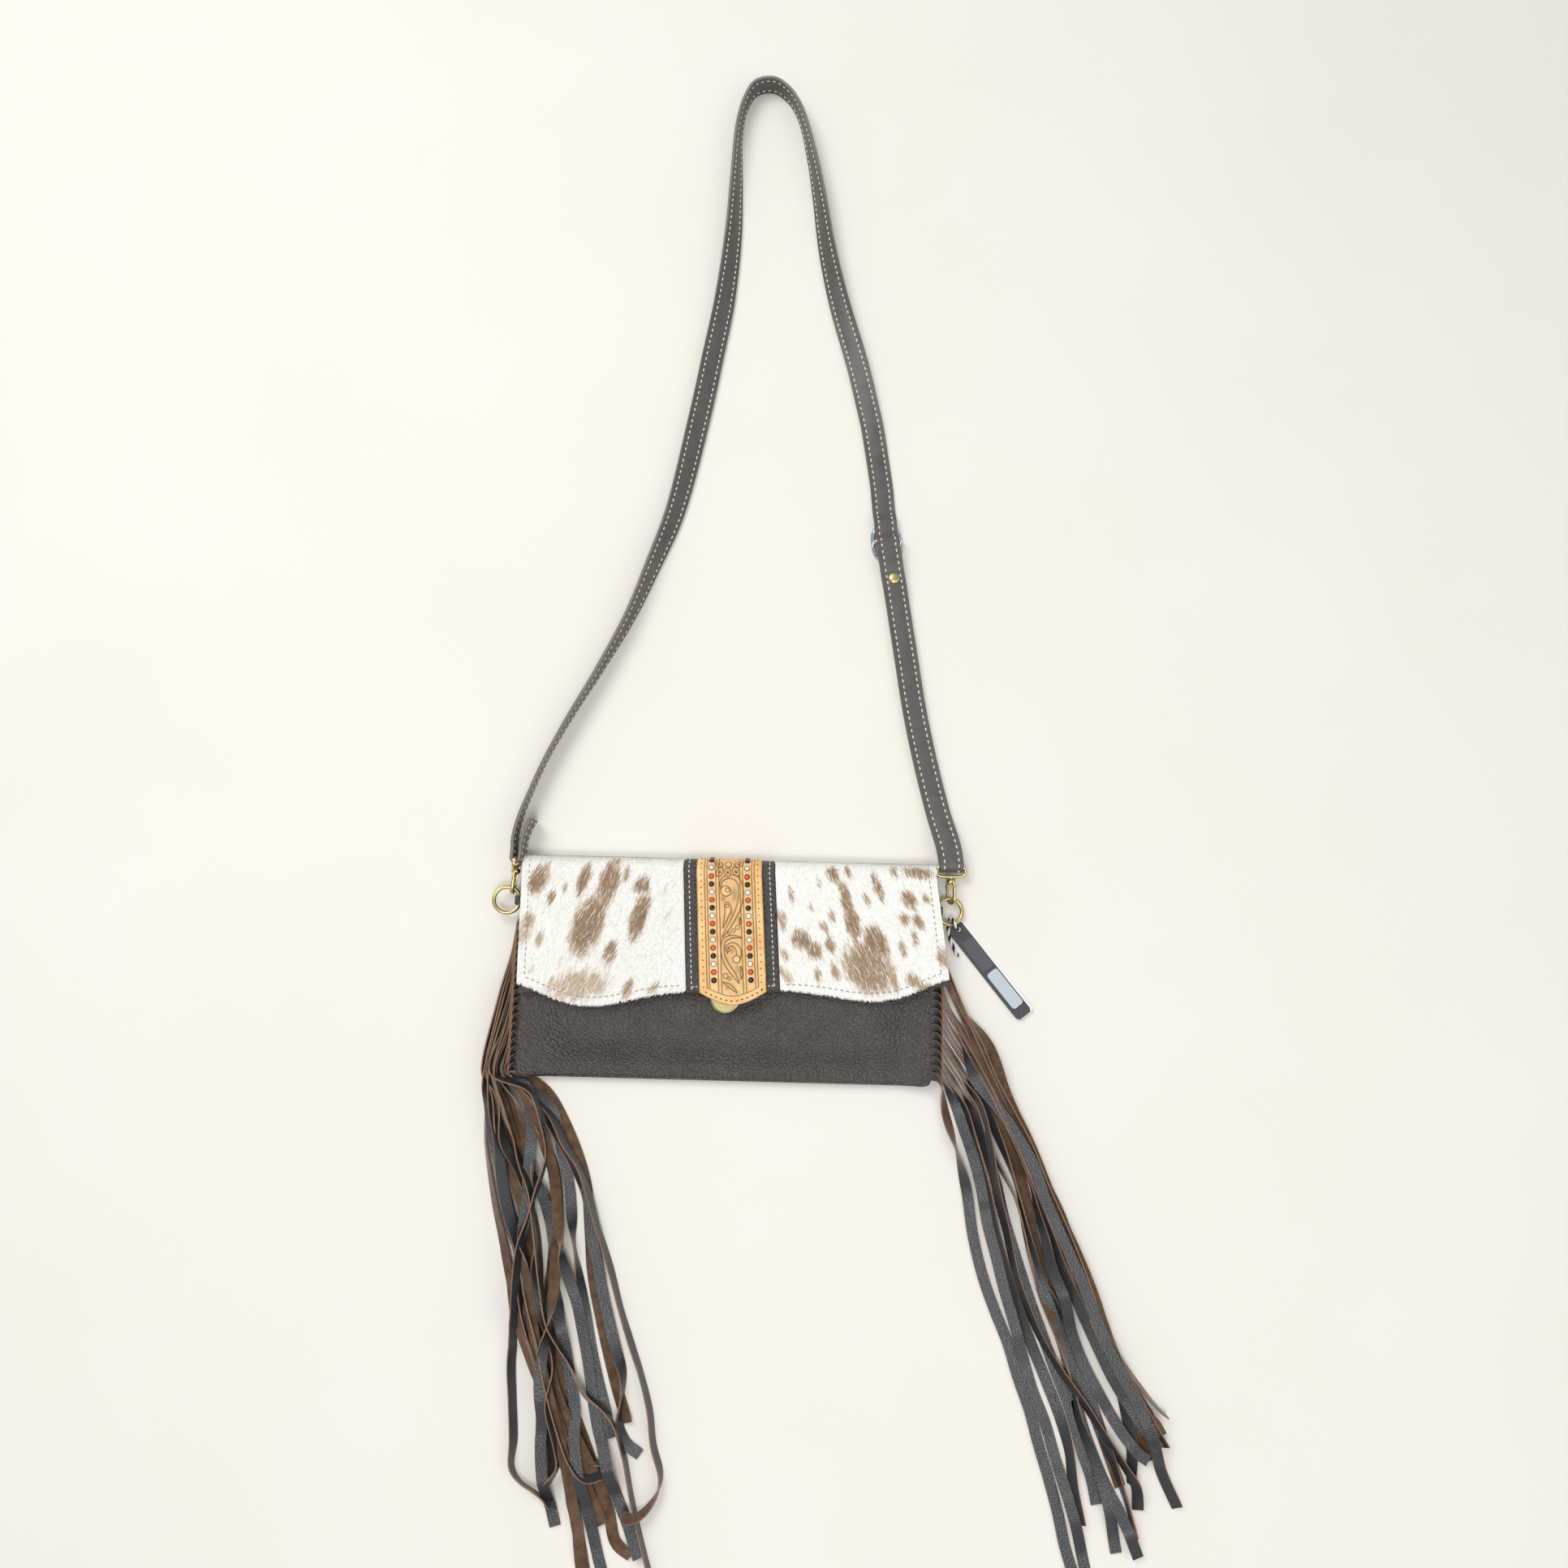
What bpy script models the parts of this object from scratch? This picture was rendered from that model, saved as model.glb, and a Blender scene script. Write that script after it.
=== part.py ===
"""Fringed crossbody clutch lying on its back, closed, with its strap laid out above it.

The floor is z = 0 and the flap faces +Z. The flap's fold and the strap are towards +Y. The
origin is on the back panel's flat outer face, between its sides.
"""

import math

import bmesh
import bpy
from mathutils import Matrix, Vector

MM = 0.001
UP = Vector((0.0, 0.0, 1.0))

# Bag body
body_half_width = 128 * MM
body_bottom = -68 * MM
hinge_y = 61 * MM
panel_thickness = 1.3 * MM
seam_margin = 5 * MM
seam_height = 4 * MM
front_height = 14.0 * MM
mouth_drop = 3.2 * MM
panel_corner = 4 * MM
lining_thickness = 0.6 * MM
lining_clearance = 1.0 * MM
lining_inset = 15 * MM
clearance = 0.3 * MM
seam_slot = 2.1 * MM
seam_middle = seam_height + panel_thickness + seam_slot / 2

# Flap
flap_fold_radius = 7.5 * MM
flap_lining_thickness = 1.0 * MM
hide_thickness = 1.6 * MM
flap_top_half_width = body_half_width + 1.5 * MM
flap_flare = 3.4 * MM
flap_skew = 4.5 * MM
flap_turn = 0.034
flap_rise = 3.4 * MM
flap_snap_rise = 2.8 * MM
flap_droop = 2.5 * MM
flap_corner_y = -4.4 * MM
flap_middle_y = -13.4 * MM
flap_lobe = 9.7 * MM
layer_gap = 0.4 * MM
band_width = 57 * MM
band_thickness = 1.9 * MM
fold_thickness = flap_lining_thickness + layer_gap + hide_thickness
fold_lift = 0.1 * MM
hinge_z = flap_fold_radius + fold_lift
flap_underside = hinge_z + flap_fold_radius - fold_thickness

# Tooled strip and its stones
strip_width = 42 * MM
strip_thickness = 2.2 * MM
strip_shoulder_y = -13.5 * MM
strip_tip_y = -21.5 * MM
groove_offset = 5.6 * MM
groove_depth = 0.5 * MM
stone_count = 17
stone_pitch = 4.9 * MM
stone_radius = 1.85 * MM
stone_height = 0.9 * MM
stone_row_offset = 14.6 * MM
carving_height = 0.5 * MM

# Magnetic snap
snap_centre = Vector((0.0, -17.5 * MM))
snap_flange_radius = 9 * MM
snap_cup_radius = 6.5 * MM
snap_cup_height = 1.6 * MM
snap_hole_radius = 2.6 * MM
snap_nub_radius = 2.0 * MM
snap_nub_length = 1.0 * MM

# Fringe
fringe_count = 19
fringe_pitch = 5 * MM
fringe_strip_width = 4.6 * MM
fringe_thickness = 0.9 * MM
fringe_length = 312 * MM
fringe_first_y = -62 * MM
fringe_heading_depth = 7 * MM
fringe_neck_drop = {-1: 14 * MM, 1: 8 * MM}
# How far out and how far down a leaving strip is, and its share of the turn on to its edge
fringe_leave = [(1.0 * MM, 0.0, 0.25), (1.7 * MM, -0.15 * MM, 0.5), (2.4 * MM, -0.5 * MM, 0.75),
                (3.0 * MM, -1.3 * MM, 0.92), (3.8 * MM, -3.6 * MM, 1.0)]
fringe_steps = 8
fringe_waist_pitch = {-1: 1.24 * MM, 1: 2.1 * MM}
fringe_fall = 26 * MM
fringe_drop_share = {-1: 0.97, 1: 0.93}

# Rings and their tabs, which stand out from the wider of the body and the flap
side_reach = max(body_half_width, flap_top_half_width - 1.5 * MM)
ring_mean_radius = 8.1 * MM
ring_wire = 1.3 * MM
ring_tilt = {-1: math.radians(-12), 1: math.radians(12)}
tab_reach = 3.9 * MM
tab_y = 40 * MM
tab_width = 13 * MM
tab_thickness = 1.1 * MM
tab_tail = 6.1 * MM

# Swivel hooks
hook_wire = 1.15 * MM
hook_throat = 2.5 * MM
hook_collar_start = 9 * MM
hook_collar_length = 2.6 * MM
hook_post = 1.2 * MM
hook_eye_length = 19 * MM
hook_eye_wire = 1.1 * MM
hook_roll = {-1: 0.0, 1: math.radians(30)}
hook_contact = {-1: math.radians(25), 1: math.radians(-5)}
hook_eye_reach = {-1: 6.1 * MM, 1: 12.2 * MM}
hook_eye_y = {-1: 66.2 * MM, 1: 66.6 * MM}
hook_eye_z = {-1: 10.8 * MM, 1: 7.2 * MM}

# Strap
strap_width = 15 * MM
strap_thickness = 2.2 * MM
strap_tail_thickness = 1.2 * MM
strap_drawn_at = 128 * MM
strap_spread_end = 370 * MM
slider_centre_y = 284.2 * MM
slider_width = 21 * MM
slider_length = 25 * MM
slider_band = 2.5 * MM
slider_thickness = 2.0 * MM
slider_bar = 1.0 * MM
rivet_y = 258.5 * MM
strap_tail_end_y = rivet_y - 5 * MM
rivet_cap_radius = 3.8 * MM
rivet_shank_radius = 1.2 * MM

# Hang tag
tag_length = 71 * MM
tag_width = 12.5 * MM
tag_thickness = 0.6 * MM
tag_angle = math.radians(-50.9)
tag_hole_radius = 1.6 * MM
sticker_length = 27 * MM
sticker_width = 8 * MM
sticker_thickness = 0.2 * MM
string_radius = 0.75 * MM


def clear_scene():
    for item in list(bpy.data.objects):
        bpy.data.objects.remove(item, do_unlink=True)


def plain_material(name, colour, roughness, metallic=0.0):
    """A plain Principled material; colour is linear RGB."""
    material = bpy.data.materials.new(name)
    material.use_nodes = True
    shader = material.node_tree.nodes["Principled BSDF"]
    shader.inputs["Base Color"].default_value = (*colour, 1.0)
    shader.inputs["Roughness"].default_value = roughness
    shader.inputs["Metallic"].default_value = metallic
    return material


def add_part(name, bm, material, origin=None, smooth=True):
    """Finish a bmesh as one named object whose origin is the given point."""
    origin = Vector(origin) if origin is not None else Vector((0.0, 0.0, 0.0))
    bmesh.ops.translate(bm, verts=bm.verts, vec=-origin)
    bmesh.ops.recalc_face_normals(bm, faces=bm.faces[:])
    mesh = bpy.data.meshes.new(name)
    bm.to_mesh(mesh)
    bm.free()
    if smooth:
        mesh.shade_smooth()
        mesh.set_sharp_from_angle(angle=math.radians(35))
    mesh.materials.append(material)
    part = bpy.data.objects.new(name, mesh)
    part.location = origin
    bpy.context.collection.objects.link(part)
    return part


def join_shape(part, tool, operation):
    """Cut or join a part with a hidden tool shape."""
    tool.hide_render = True
    tool.display_type = "WIRE"
    modifier = part.modifiers.new(tool.name, "BOOLEAN")
    modifier.operation = operation
    modifier.object = tool


def smooth_step(value):
    value = min(max(value, 0.0), 1.0)
    return value * value * (3.0 - 2.0 * value)


def ease(value, start, end):
    """0 before start and 1 past end, with a smooth ramp between; start may be the larger."""
    return smooth_step((value - start) / (end - start))


def smooth_curve(points, spans):
    """Catmull-Rom samples through vectors, with the given number of steps in each span."""
    points = [Vector(point) for point in points]
    ends = [2 * points[0] - points[1], *points, 2 * points[-1] - points[-2]]
    samples = []
    for before, here, after, beyond in zip(ends, ends[1:], ends[2:], ends[3:]):
        for step in range(spans):
            t = step / spans
            samples.append(
                0.5 * (2 * here + (after - before) * t
                       + (2 * before - 5 * here + 4 * after - beyond) * t * t
                       + (3 * here - before - 3 * after + beyond) * t ** 3)
            )
    samples.append(points[-1])
    return samples


def slab(columns, rows, place, open_end=False):
    """A closed plate: place(u, v, w) puts its grid, with u and v from -1 to 1 and w 0 or 1."""
    bm = bmesh.new()
    bmesh.ops.create_grid(bm, x_segments=columns, y_segments=rows, size=1.0)
    made = bmesh.ops.extrude_face_region(bm, geom=bm.faces[:])
    upper = [item for item in made["geom"] if isinstance(item, bmesh.types.BMVert)]
    bmesh.ops.translate(bm, verts=upper, vec=UP)
    if open_end:
        far = [face for face in bm.faces if all(vert.co.y > 0.999 for vert in face.verts)]
        bmesh.ops.delete(bm, geom=far, context="FACES")
    for vert in bm.verts:
        vert.co = place(*vert.co)
    return bm


def push_face(face, bm, section, stations):
    """Extrude a face through stations, each a (point, across, out) frame for its section."""
    front = [face]
    for point, across, out in stations:
        front = bmesh.ops.extrude_discrete_faces(bm, faces=front)["faces"]
        for vert, (a, b) in zip(front[0].verts, section):
            vert.co = point + across * a + out * b


def sweep(section, stations):
    """A closed bar of any section along stations, each a (point, across, out, size) tuple."""
    bm = bmesh.new()
    corners = [[point + across * a * wide + out * b * thick for a, b in section]
               for point, across, out, (wide, thick) in stations]
    first = bm.faces.new([bm.verts.new(corner) for corner in corners[0]])
    made = bmesh.ops.extrude_face_region(bm, geom=[first])
    front = [item for item in made["geom"] if isinstance(item, bmesh.types.BMFace)]
    for number, ring in enumerate(corners[1:]):
        if number:
            front = bmesh.ops.extrude_discrete_faces(bm, faces=front)["faces"]
        for vert, corner in zip(front[0].verts, ring):
            vert.co = corner
    return bm


def frames(points, acrosses, sizes):
    """Stations along points, each squared up to the path's own direction."""
    stations = []
    for number, (point, across, size) in enumerate(zip(points, acrosses, sizes)):
        before = points[max(number - 1, 0)]
        after = points[min(number + 1, len(points) - 1)]
        along = (after - before).normalized()
        out = along.cross(across).normalized()
        stations.append((point, out.cross(along), out, size))
    return stations


def wire(name, points, radius, material, cyclic=False, resolution=2):
    """A round wire or cord along points."""
    curve = bpy.data.curves.new(name, "CURVE")
    curve.dimensions = "3D"
    curve.bevel_depth = radius
    curve.bevel_resolution = resolution
    curve.use_fill_caps = not cyclic
    spline = curve.splines.new("POLY")
    spline.points.add(len(points) - 1)
    for target, point in zip(spline.points, points):
        target.co = (*point, 1.0)
    spline.use_cyclic_u = cyclic
    curve.materials.append(material)
    part = bpy.data.objects.new(name, curve)
    bpy.context.collection.objects.link(part)
    return part


def wire_mesh(points, radius, material, cyclic=False, resolution=2):
    """The same wire as a bmesh, for shapes that are joined to others."""
    curve_part = wire("wire", points, radius, material, cyclic, resolution)
    mesh = bpy.data.meshes.new_from_object(curve_part)
    bpy.data.objects.remove(curve_part, do_unlink=True)
    bm = bmesh.new()
    bm.from_mesh(mesh)
    bpy.data.meshes.remove(mesh)
    bmesh.ops.remove_doubles(bm, verts=bm.verts, dist=0.01 * MM)
    return bm


def turned(profile, steps=20):
    """A shape turned about Z from (radius, height) points."""
    bm = bmesh.new()
    verts = [bm.verts.new((radius, 0.0, height)) for radius, height in profile]
    for here, after in zip(verts, verts[1:]):
        bm.edges.new((here, after))
    bmesh.ops.spin(bm, geom=bm.verts[:] + bm.edges[:], axis=UP, angle=2 * math.pi,
                   steps=steps, use_merge=True)
    bmesh.ops.remove_doubles(bm, verts=bm.verts, dist=0.01 * MM)
    return bm


# Panels

def side_half_width(y):
    """The body's half width at a height, with its small rounded lower corners."""
    depth = max(body_bottom + panel_corner - y, 0.0)
    return body_half_width - panel_corner + math.sqrt(max(panel_corner ** 2 - depth ** 2, 0.0))


def seam_lift(x):
    """How far the front panel's margin stands off the back one, which is more at the fringe."""
    lift = seam_slot - clearance
    return clearance + lift * ease(abs(x), body_half_width - 22 * MM, body_half_width - 10 * MM)


def back_outer(x, y):
    """The back panel's outer face: flat, and rising to the seam at its sides and bottom."""
    side = ease(abs(x), body_half_width - seam_margin - 14 * MM, body_half_width - seam_margin)
    foot = ease(y, body_bottom + seam_margin + 12 * MM, body_bottom + seam_margin)
    foot *= 1.0 if y < 0 else 0.0
    side *= ease(y, hinge_y, hinge_y - 20 * MM)
    return seam_height * max(side, foot)


def front_outer(x, y):
    """The front panel's outer face: a low dome between its sewn margins, lower at the mouth."""
    side = ease(body_half_width - seam_margin - abs(x), 0.0, 30 * MM)
    foot = ease(y - body_bottom - seam_margin, 0.0, 24 * MM)
    edge = seam_height + 2 * panel_thickness + seam_lift(x)
    middle = front_height - mouth_drop * ease(y, hinge_y - 45 * MM, hinge_y)
    return edge + (middle - edge) * side * foot


def edge_spread(u):
    """Grid columns drawn towards the sides, where the panels curve."""
    return math.sin(u * math.pi / 2) * 0.55 + u * 0.45


def panel_place(outer, thickness_sign):
    span = hinge_y - clearance - body_bottom

    def place(u, v, w):
        y = body_bottom + span * (0.5 + 0.5 * edge_spread(v))
        x = side_half_width(y) * edge_spread(u)
        return Vector((x, y, outer(x, y) + thickness_sign * panel_thickness * (1.0 - w)))

    return place


def make_panels(material):
    front = slab(18, 12, panel_place(front_outer, -1.0))
    add_part("front_panel", front, material)
    back = slab(16, 12, panel_place(back_outer, 1.0))
    add_part("back_panel", back, material)


def make_lining(material):
    """An open pouch of cloth inside the two panels."""
    half = body_half_width - lining_inset
    low = body_bottom + lining_inset
    span = hinge_y - 1.5 * MM - low
    offset = panel_thickness + lining_clearance

    def place(u, v, w):
        y = low + span * (0.5 + 0.5 * edge_spread(v))
        x = half * edge_spread(u)
        bottom = back_outer(x, y) + offset
        top = front_outer(x, y) - offset
        middle = (bottom + top) / 2
        half_height = max((top - bottom) / 2, 0.2 * MM)
        return Vector((x, y, middle + half_height * (2 * w - 1)))

    bm = slab(12, 8, place, open_end=True)
    part = add_part("lining", bm, material)
    wall = part.modifiers.new("wall", "SOLIDIFY")
    wall.thickness = lining_thickness
    wall.offset = -1.0
    return part


# Flap

def flap_height(x, y):
    """The flap's underside: off the fold, over the front panel and up over the snap."""
    rise = flap_rise * ease(y, hinge_y, hinge_y - 45 * MM)
    over_snap = math.exp(-(x / (38 * MM)) ** 2) * ease(y, 32 * MM, -10 * MM)
    droop = (abs(x) / flap_top_half_width) ** 4 * ease(y, hinge_y, hinge_y - 40 * MM)
    return flap_underside + rise + flap_snap_rise * over_snap - flap_droop * droop


def flap_point(a, b, height):
    """Put a flap point, given square to its fold, where the slightly skewed flap has it."""
    drop = (hinge_y - b) / (hinge_y - flap_corner_y)
    x = a + flap_skew * drop
    y = b + a * flap_turn * drop
    return Vector((x, y, flap_height(x, y) + height))


def flap_half_width(b):
    return flap_top_half_width + flap_flare * (hinge_y - b) / (hinge_y - flap_corner_y)


def lobe_edge(a):
    """The lower edge: two lobes beside the band, with a dip at the middle."""
    inner = band_width / 2
    outer = flap_top_half_width + flap_flare
    share = min(max((abs(a) - inner) / (outer - inner), 0.0), 1.0)
    base = flap_middle_y + (flap_corner_y - flap_middle_y) * share
    return base - flap_lobe * math.sin(math.pi * share)


def flap_row(v):
    """Row shares that are the same in every layer, close together near the fold."""
    share = 0.5 - 0.5 * v
    return share * (0.55 + 0.45 * share)


def flap_layer(inner, outer, low_height, thickness, columns, rows=8, edge=lobe_edge):
    """One layer of the flap between two distances from its middle line."""

    def place(u, v, w):
        share = 0.5 + 0.5 * u
        a_edge = inner + (outer - inner) * share
        b = hinge_y + (edge(a_edge) - hinge_y) * flap_row(v)
        reach = flap_half_width(b) / flap_top_half_width
        a = a_edge * (reach if abs(a_edge) > band_width else 1.0)
        return flap_point(a, b, low_height + thickness * w)

    return slab(columns, rows, place)


def make_flap(leather_dark, hide):
    origin = Vector((0.0, hinge_y, hinge_z))
    half = flap_top_half_width
    lining = flap_layer(-half, half, 0.0, flap_lining_thickness, 18)
    add_part("flap_lining", lining, leather_dark, origin)
    level = flap_lining_thickness + layer_gap
    inner = band_width / 2 + clearance
    left = flap_layer(-half, -inner, level, hide_thickness, 8)
    add_part("flap_hide_left", left, hide, origin)
    right = flap_layer(inner, half, level, hide_thickness, 8)
    add_part("flap_hide_right", right, hide, origin)
    band = flap_layer(-band_width / 2, band_width / 2, level, band_thickness, 6)
    add_part("flap_band", band, leather_dark, origin)


def make_fold(leather_dark):
    """The part of the flap that bends over the mouth, from the back panel to the flap."""
    steps = 8

    def place(u, v, w):
        angle = -math.pi / 2 + math.pi * (0.5 + 0.5 * v)
        radius = flap_fold_radius - fold_thickness * (1.0 - w)
        reach = hinge_y + clearance + radius * math.cos(angle)
        return Vector((flap_top_half_width * u, reach, hinge_z + radius * math.sin(angle)))

    bm = slab(10, steps, place)
    add_part("flap_fold", bm, leather_dark, (0.0, hinge_y, hinge_z))


# Tooled strip

def strip_edge(a):
    """The strip's pointed lower end."""
    share = min(abs(a) / (strip_width / 2), 1.0)
    return strip_tip_y + (strip_shoulder_y - strip_tip_y) * share ** 1.6


def scroll(centre_a, centre_b, radius, turns, hand, start):
    """Points of a carved spiral that opens outwards from its eye."""
    count = 9
    points = []
    for step in range(count + 1):
        share = step / count
        angle = start + hand * share * turns * 2 * math.pi
        reach = radius * (0.25 + 0.75 * share)
        points.append((centre_a + reach * math.cos(angle), centre_b + reach * math.sin(angle)))
    return points


def make_strip(tan_leather):
    """The carved strip, with its stones and scrolls raised from one piece."""
    origin = Vector((0.0, hinge_y, hinge_z))
    level = flap_lining_thickness + 2 * layer_gap + band_thickness
    half = strip_width / 2
    groove = half - groove_offset
    stops = [-half, -groove - 0.7 * MM, -groove, -groove + 0.7 * MM, -5 * MM,
             5 * MM, groove - 0.7 * MM, groove, groove + 0.7 * MM, half]

    def place(u, v, w):
        a = stops[round((0.5 + 0.5 * u) * (len(stops) - 1))]
        b = hinge_y + (strip_edge(a) - hinge_y) * flap_row(v)
        sunk = groove_depth if abs(abs(a) - groove) < 0.1 * MM else 0.0
        return flap_point(a, b, level + (strip_thickness - sunk) * w)

    bm = slab(len(stops) - 1, 8, place)
    part = add_part("tooled_strip", bm, tan_leather, origin)
    top = level + strip_thickness
    raised = bmesh.new()
    for side in (-1, 1):
        for number in range(stone_count):
            b = strip_shoulder_y + 2.5 * MM + number * stone_pitch
            if b > hinge_y - stone_radius:
                continue
            stone = turned([(0.0, stone_height), (stone_radius * 0.7, stone_height * 0.8),
                            (stone_radius, -0.6 * MM), (0.0, -0.6 * MM)], 6)
            bmesh.ops.translate(stone, verts=stone.verts,
                                vec=flap_point(side * stone_row_offset, b, top))
            append(raised, stone)
    paths = [
        scroll(1.5 * MM, 36 * MM, 6.5 * MM, 1.1, 1, 0.0),
        scroll(-1.5 * MM, 8 * MM, 6.5 * MM, 1.1, -1, math.pi),
        [(-6 * MM, 26 * MM), (-2 * MM, 22 * MM), (4 * MM, 18 * MM), (7 * MM, 12 * MM)],
        [(5 * MM, 57 * MM), (0.0, 53 * MM), (-5 * MM, 57 * MM)],
        [(4 * MM, -2 * MM), (0.0, -8 * MM), (-3 * MM, -12 * MM)],
    ]
    for path in paths:
        points = [flap_point(a, b, top) for a, b in path]
        acrosses = [UP.cross(after - before) for before, after in
                    zip([points[0], *points[:-1]], [*points[1:], points[-1]])]
        count = len(points)
        sizes = [(0.35 + 0.65 * math.sin(math.pi * (step + 0.5) / count), 1.0)
                 for step in range(count)]
        section = [(-1.2 * MM, -0.6 * MM), (1.2 * MM, -0.6 * MM),
                   (0.6 * MM, carving_height), (-0.6 * MM, carving_height)]
        append(raised, sweep(section, frames(points, acrosses, sizes)))
    carving = add_part("carving_and_stones", raised, tan_leather, origin)
    join_shape(part, carving, "UNION")


def append(target, source):
    """Copy one bmesh into another as a separate shell."""
    mesh = bpy.data.meshes.new("shell")
    bmesh.ops.recalc_face_normals(source, faces=source.faces[:])
    source.to_mesh(mesh)
    source.free()
    target.from_mesh(mesh)
    bpy.data.meshes.remove(mesh)


# Magnetic snap

def make_snap(brass):
    x, y = snap_centre
    ground = front_outer(x, y) + clearance
    flange = 1.0 * MM
    female = turned([
        (0.0, 0.4 * MM), (snap_hole_radius, 0.4 * MM), (snap_hole_radius, snap_cup_height),
        (snap_cup_radius, snap_cup_height), (snap_cup_radius + 0.5 * MM, flange),
        (snap_flange_radius, flange), (snap_flange_radius, 0.0), (0.0, 0.0)], 20)
    bmesh.ops.translate(female, verts=female.verts, vec=(x, y, ground))
    add_part("snap_female", female, brass)
    seat = flap_height(x, y) - clearance
    base = 0.8 * MM
    male = turned([
        (0.0, 0.0), (snap_flange_radius - 1 * MM, 0.0), (snap_flange_radius - 1 * MM, -base),
        (snap_nub_radius, -base), (snap_nub_radius, -base - snap_nub_length),
        (0.0, -base - snap_nub_length)], 20)
    bmesh.ops.translate(male, verts=male.verts, vec=(x, y, seat))
    add_part("snap_male", male, brass, (0.0, hinge_y, hinge_z))


# Fringe

def fringe_lane(side, share, drop):
    """Where a strip lies across the bundle, at a depth below the neck."""
    if side > 0:
        inner = body_half_width + 7 * MM + 0.17 * drop + 0.4 * drop * drop
        outer = body_half_width + 48 * MM + 0.42 * drop + 0.3 * drop * drop
    else:
        sweep_in = 1 - math.exp(-(drop / (38 * MM)) ** 1.5)
        inner = body_half_width + 0.5 * MM - 26 * MM * sweep_in - 0.32 * drop
        outer = body_half_width + 23.5 * MM - 0.17 * drop
    return side * (inner + (outer - inner) * share)


def fringe_neck_y(side):
    return body_bottom - fringe_neck_drop[side]


def fringe_route(side, number):
    """Plan points of one strip from the seam to its tip, at its full cut length."""
    start_y = fringe_first_y + number * fringe_pitch
    share = number / (fringe_count - 1)
    neck = Vector((fringe_lane(side, share, 0.0), fringe_neck_y(side)))
    points = []
    for reach, fall, twist in fringe_leave:
        points.append(Vector((side * (body_half_width + reach), start_y + fall)))
    if number:
        last_reach, last_fall, last_twist = fringe_leave[-1]
        waist_x = body_half_width + last_reach + fringe_waist_pitch[side] * number
        points.append(Vector((side * waist_x, fringe_first_y + last_fall)))
    points.append(neck)
    used = sum((after - here).length for here, after in zip(points, points[1:]))
    fall = (fringe_length - used - 2.2 * MM) * fringe_drop_share[side]
    for step in range(fringe_steps):
        drop = fall * ((step + 1) / fringe_steps) ** 1.5
        points.append(Vector((fringe_lane(side, share, drop), neck.y - drop)))
    return points


def fringe_lean(side, share, drop):
    """How steeply a strip stands, from on edge in the neck to leaning where they spread."""
    gap = abs(fringe_lane(side, 1.0, drop) - fringe_lane(side, 0.0, drop)) / (fringe_count - 1)
    slope = (fringe_lane(side, share, drop + 1 * MM) - fringe_lane(side, share, drop)) / (1 * MM)
    room = gap / math.hypot(1.0, slope)
    return math.asin(min(1.0, (fringe_thickness + 0.5 * MM) / (room * 0.93)))


def make_fringe(side, name, suede):
    """A leather heading sewn in the side seam, cut into strips that are one piece with it."""
    half_strip = fringe_strip_width / 2
    low = fringe_first_y - fringe_pitch / 2
    high = fringe_first_y + (fringe_count - 0.5) * fringe_pitch
    edge = body_half_width + 0.4 * MM
    bm = bmesh.new()
    bmesh.ops.create_cube(bm, size=1.0)
    centre = Vector((side * (edge - fringe_heading_depth / 2), (low + high) / 2, seam_middle))
    bmesh.ops.scale(bm, verts=bm.verts,
                    vec=(fringe_heading_depth, high - low, fringe_thickness))
    bmesh.ops.translate(bm, verts=bm.verts, vec=centre)
    for number in range(fringe_count):
        middle = fringe_first_y + number * fringe_pitch
        for cut in (middle - half_strip, middle + half_strip):
            bmesh.ops.bisect_plane(bm, geom=bm.verts[:] + bm.edges[:] + bm.faces[:],
                                   plane_co=(0.0, cut, 0.0), plane_no=(0.0, 1.0, 0.0))
    roots = {}
    for face in bm.faces:
        spot = face.calc_center_median()
        if abs(spot.x - side * edge) < 0.01 * MM:
            number = round((spot.y - fringe_first_y) / fringe_pitch)
            offset = abs(spot.y - fringe_first_y - number * fringe_pitch)
            if offset < 0.1 * MM:
                roots[number] = face
    for number, face in sorted(roots.items()):
        middle = fringe_first_y + number * fringe_pitch
        section = [(vert.co.y - middle, vert.co.z - seam_middle) for vert in face.verts]
        push_face(face, bm, section, fringe_stations(side, number))
    bmesh.ops.triangulate(bm, faces=bm.faces[:], quad_method="SHORT_EDGE")
    add_part(name, bm, suede, smooth=False)


def fringe_stations(side, number):
    route = fringe_route(side, number)
    stations = []
    travelled = 0.0
    lean_up = math.pi / 2
    for step, point in enumerate(route):
        before = route[max(step - 1, 0)]
        after = route[min(step + 1, len(route) - 1)]
        along = after - before
        travelled += (point - before).length
        if step == 0:
            along = Vector((side, -0.15))
        along = Vector((*along.normalized(), 0.0))
        drop = max(fringe_neck_y(side) - point.y, 0.0)
        share = number / (fringe_count - 1)
        lean = lean_up + (fringe_lean(side, share, drop) - lean_up) * ease(drop, 50 * MM, 110 * MM)
        if step < len(fringe_leave):
            lean *= fringe_leave[step][2]
        level = side * UP.cross(along)
        across = level * math.cos(lean) + UP * math.sin(lean)
        out = UP * math.cos(lean) - level * math.sin(lean)
        half_height = (fringe_strip_width * abs(math.sin(lean))
                       + fringe_thickness * abs(math.cos(lean))) / 2
        fall = ease(travelled, 0.0, fringe_fall)
        z = seam_middle + (half_height - seam_middle) * fall
        stations.append((Vector((*point, z)), across, out))
    return stations


# Rings, tabs and hooks

def tab_wire_centre(side):
    return Vector((side * (side_reach + tab_reach), tab_y, seam_middle))


def ring_centre(side):
    reach = Vector((side * math.cos(ring_tilt[side]), 0.0, -math.sin(ring_tilt[side])))
    return tab_wire_centre(side) + reach * ring_mean_radius


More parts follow.
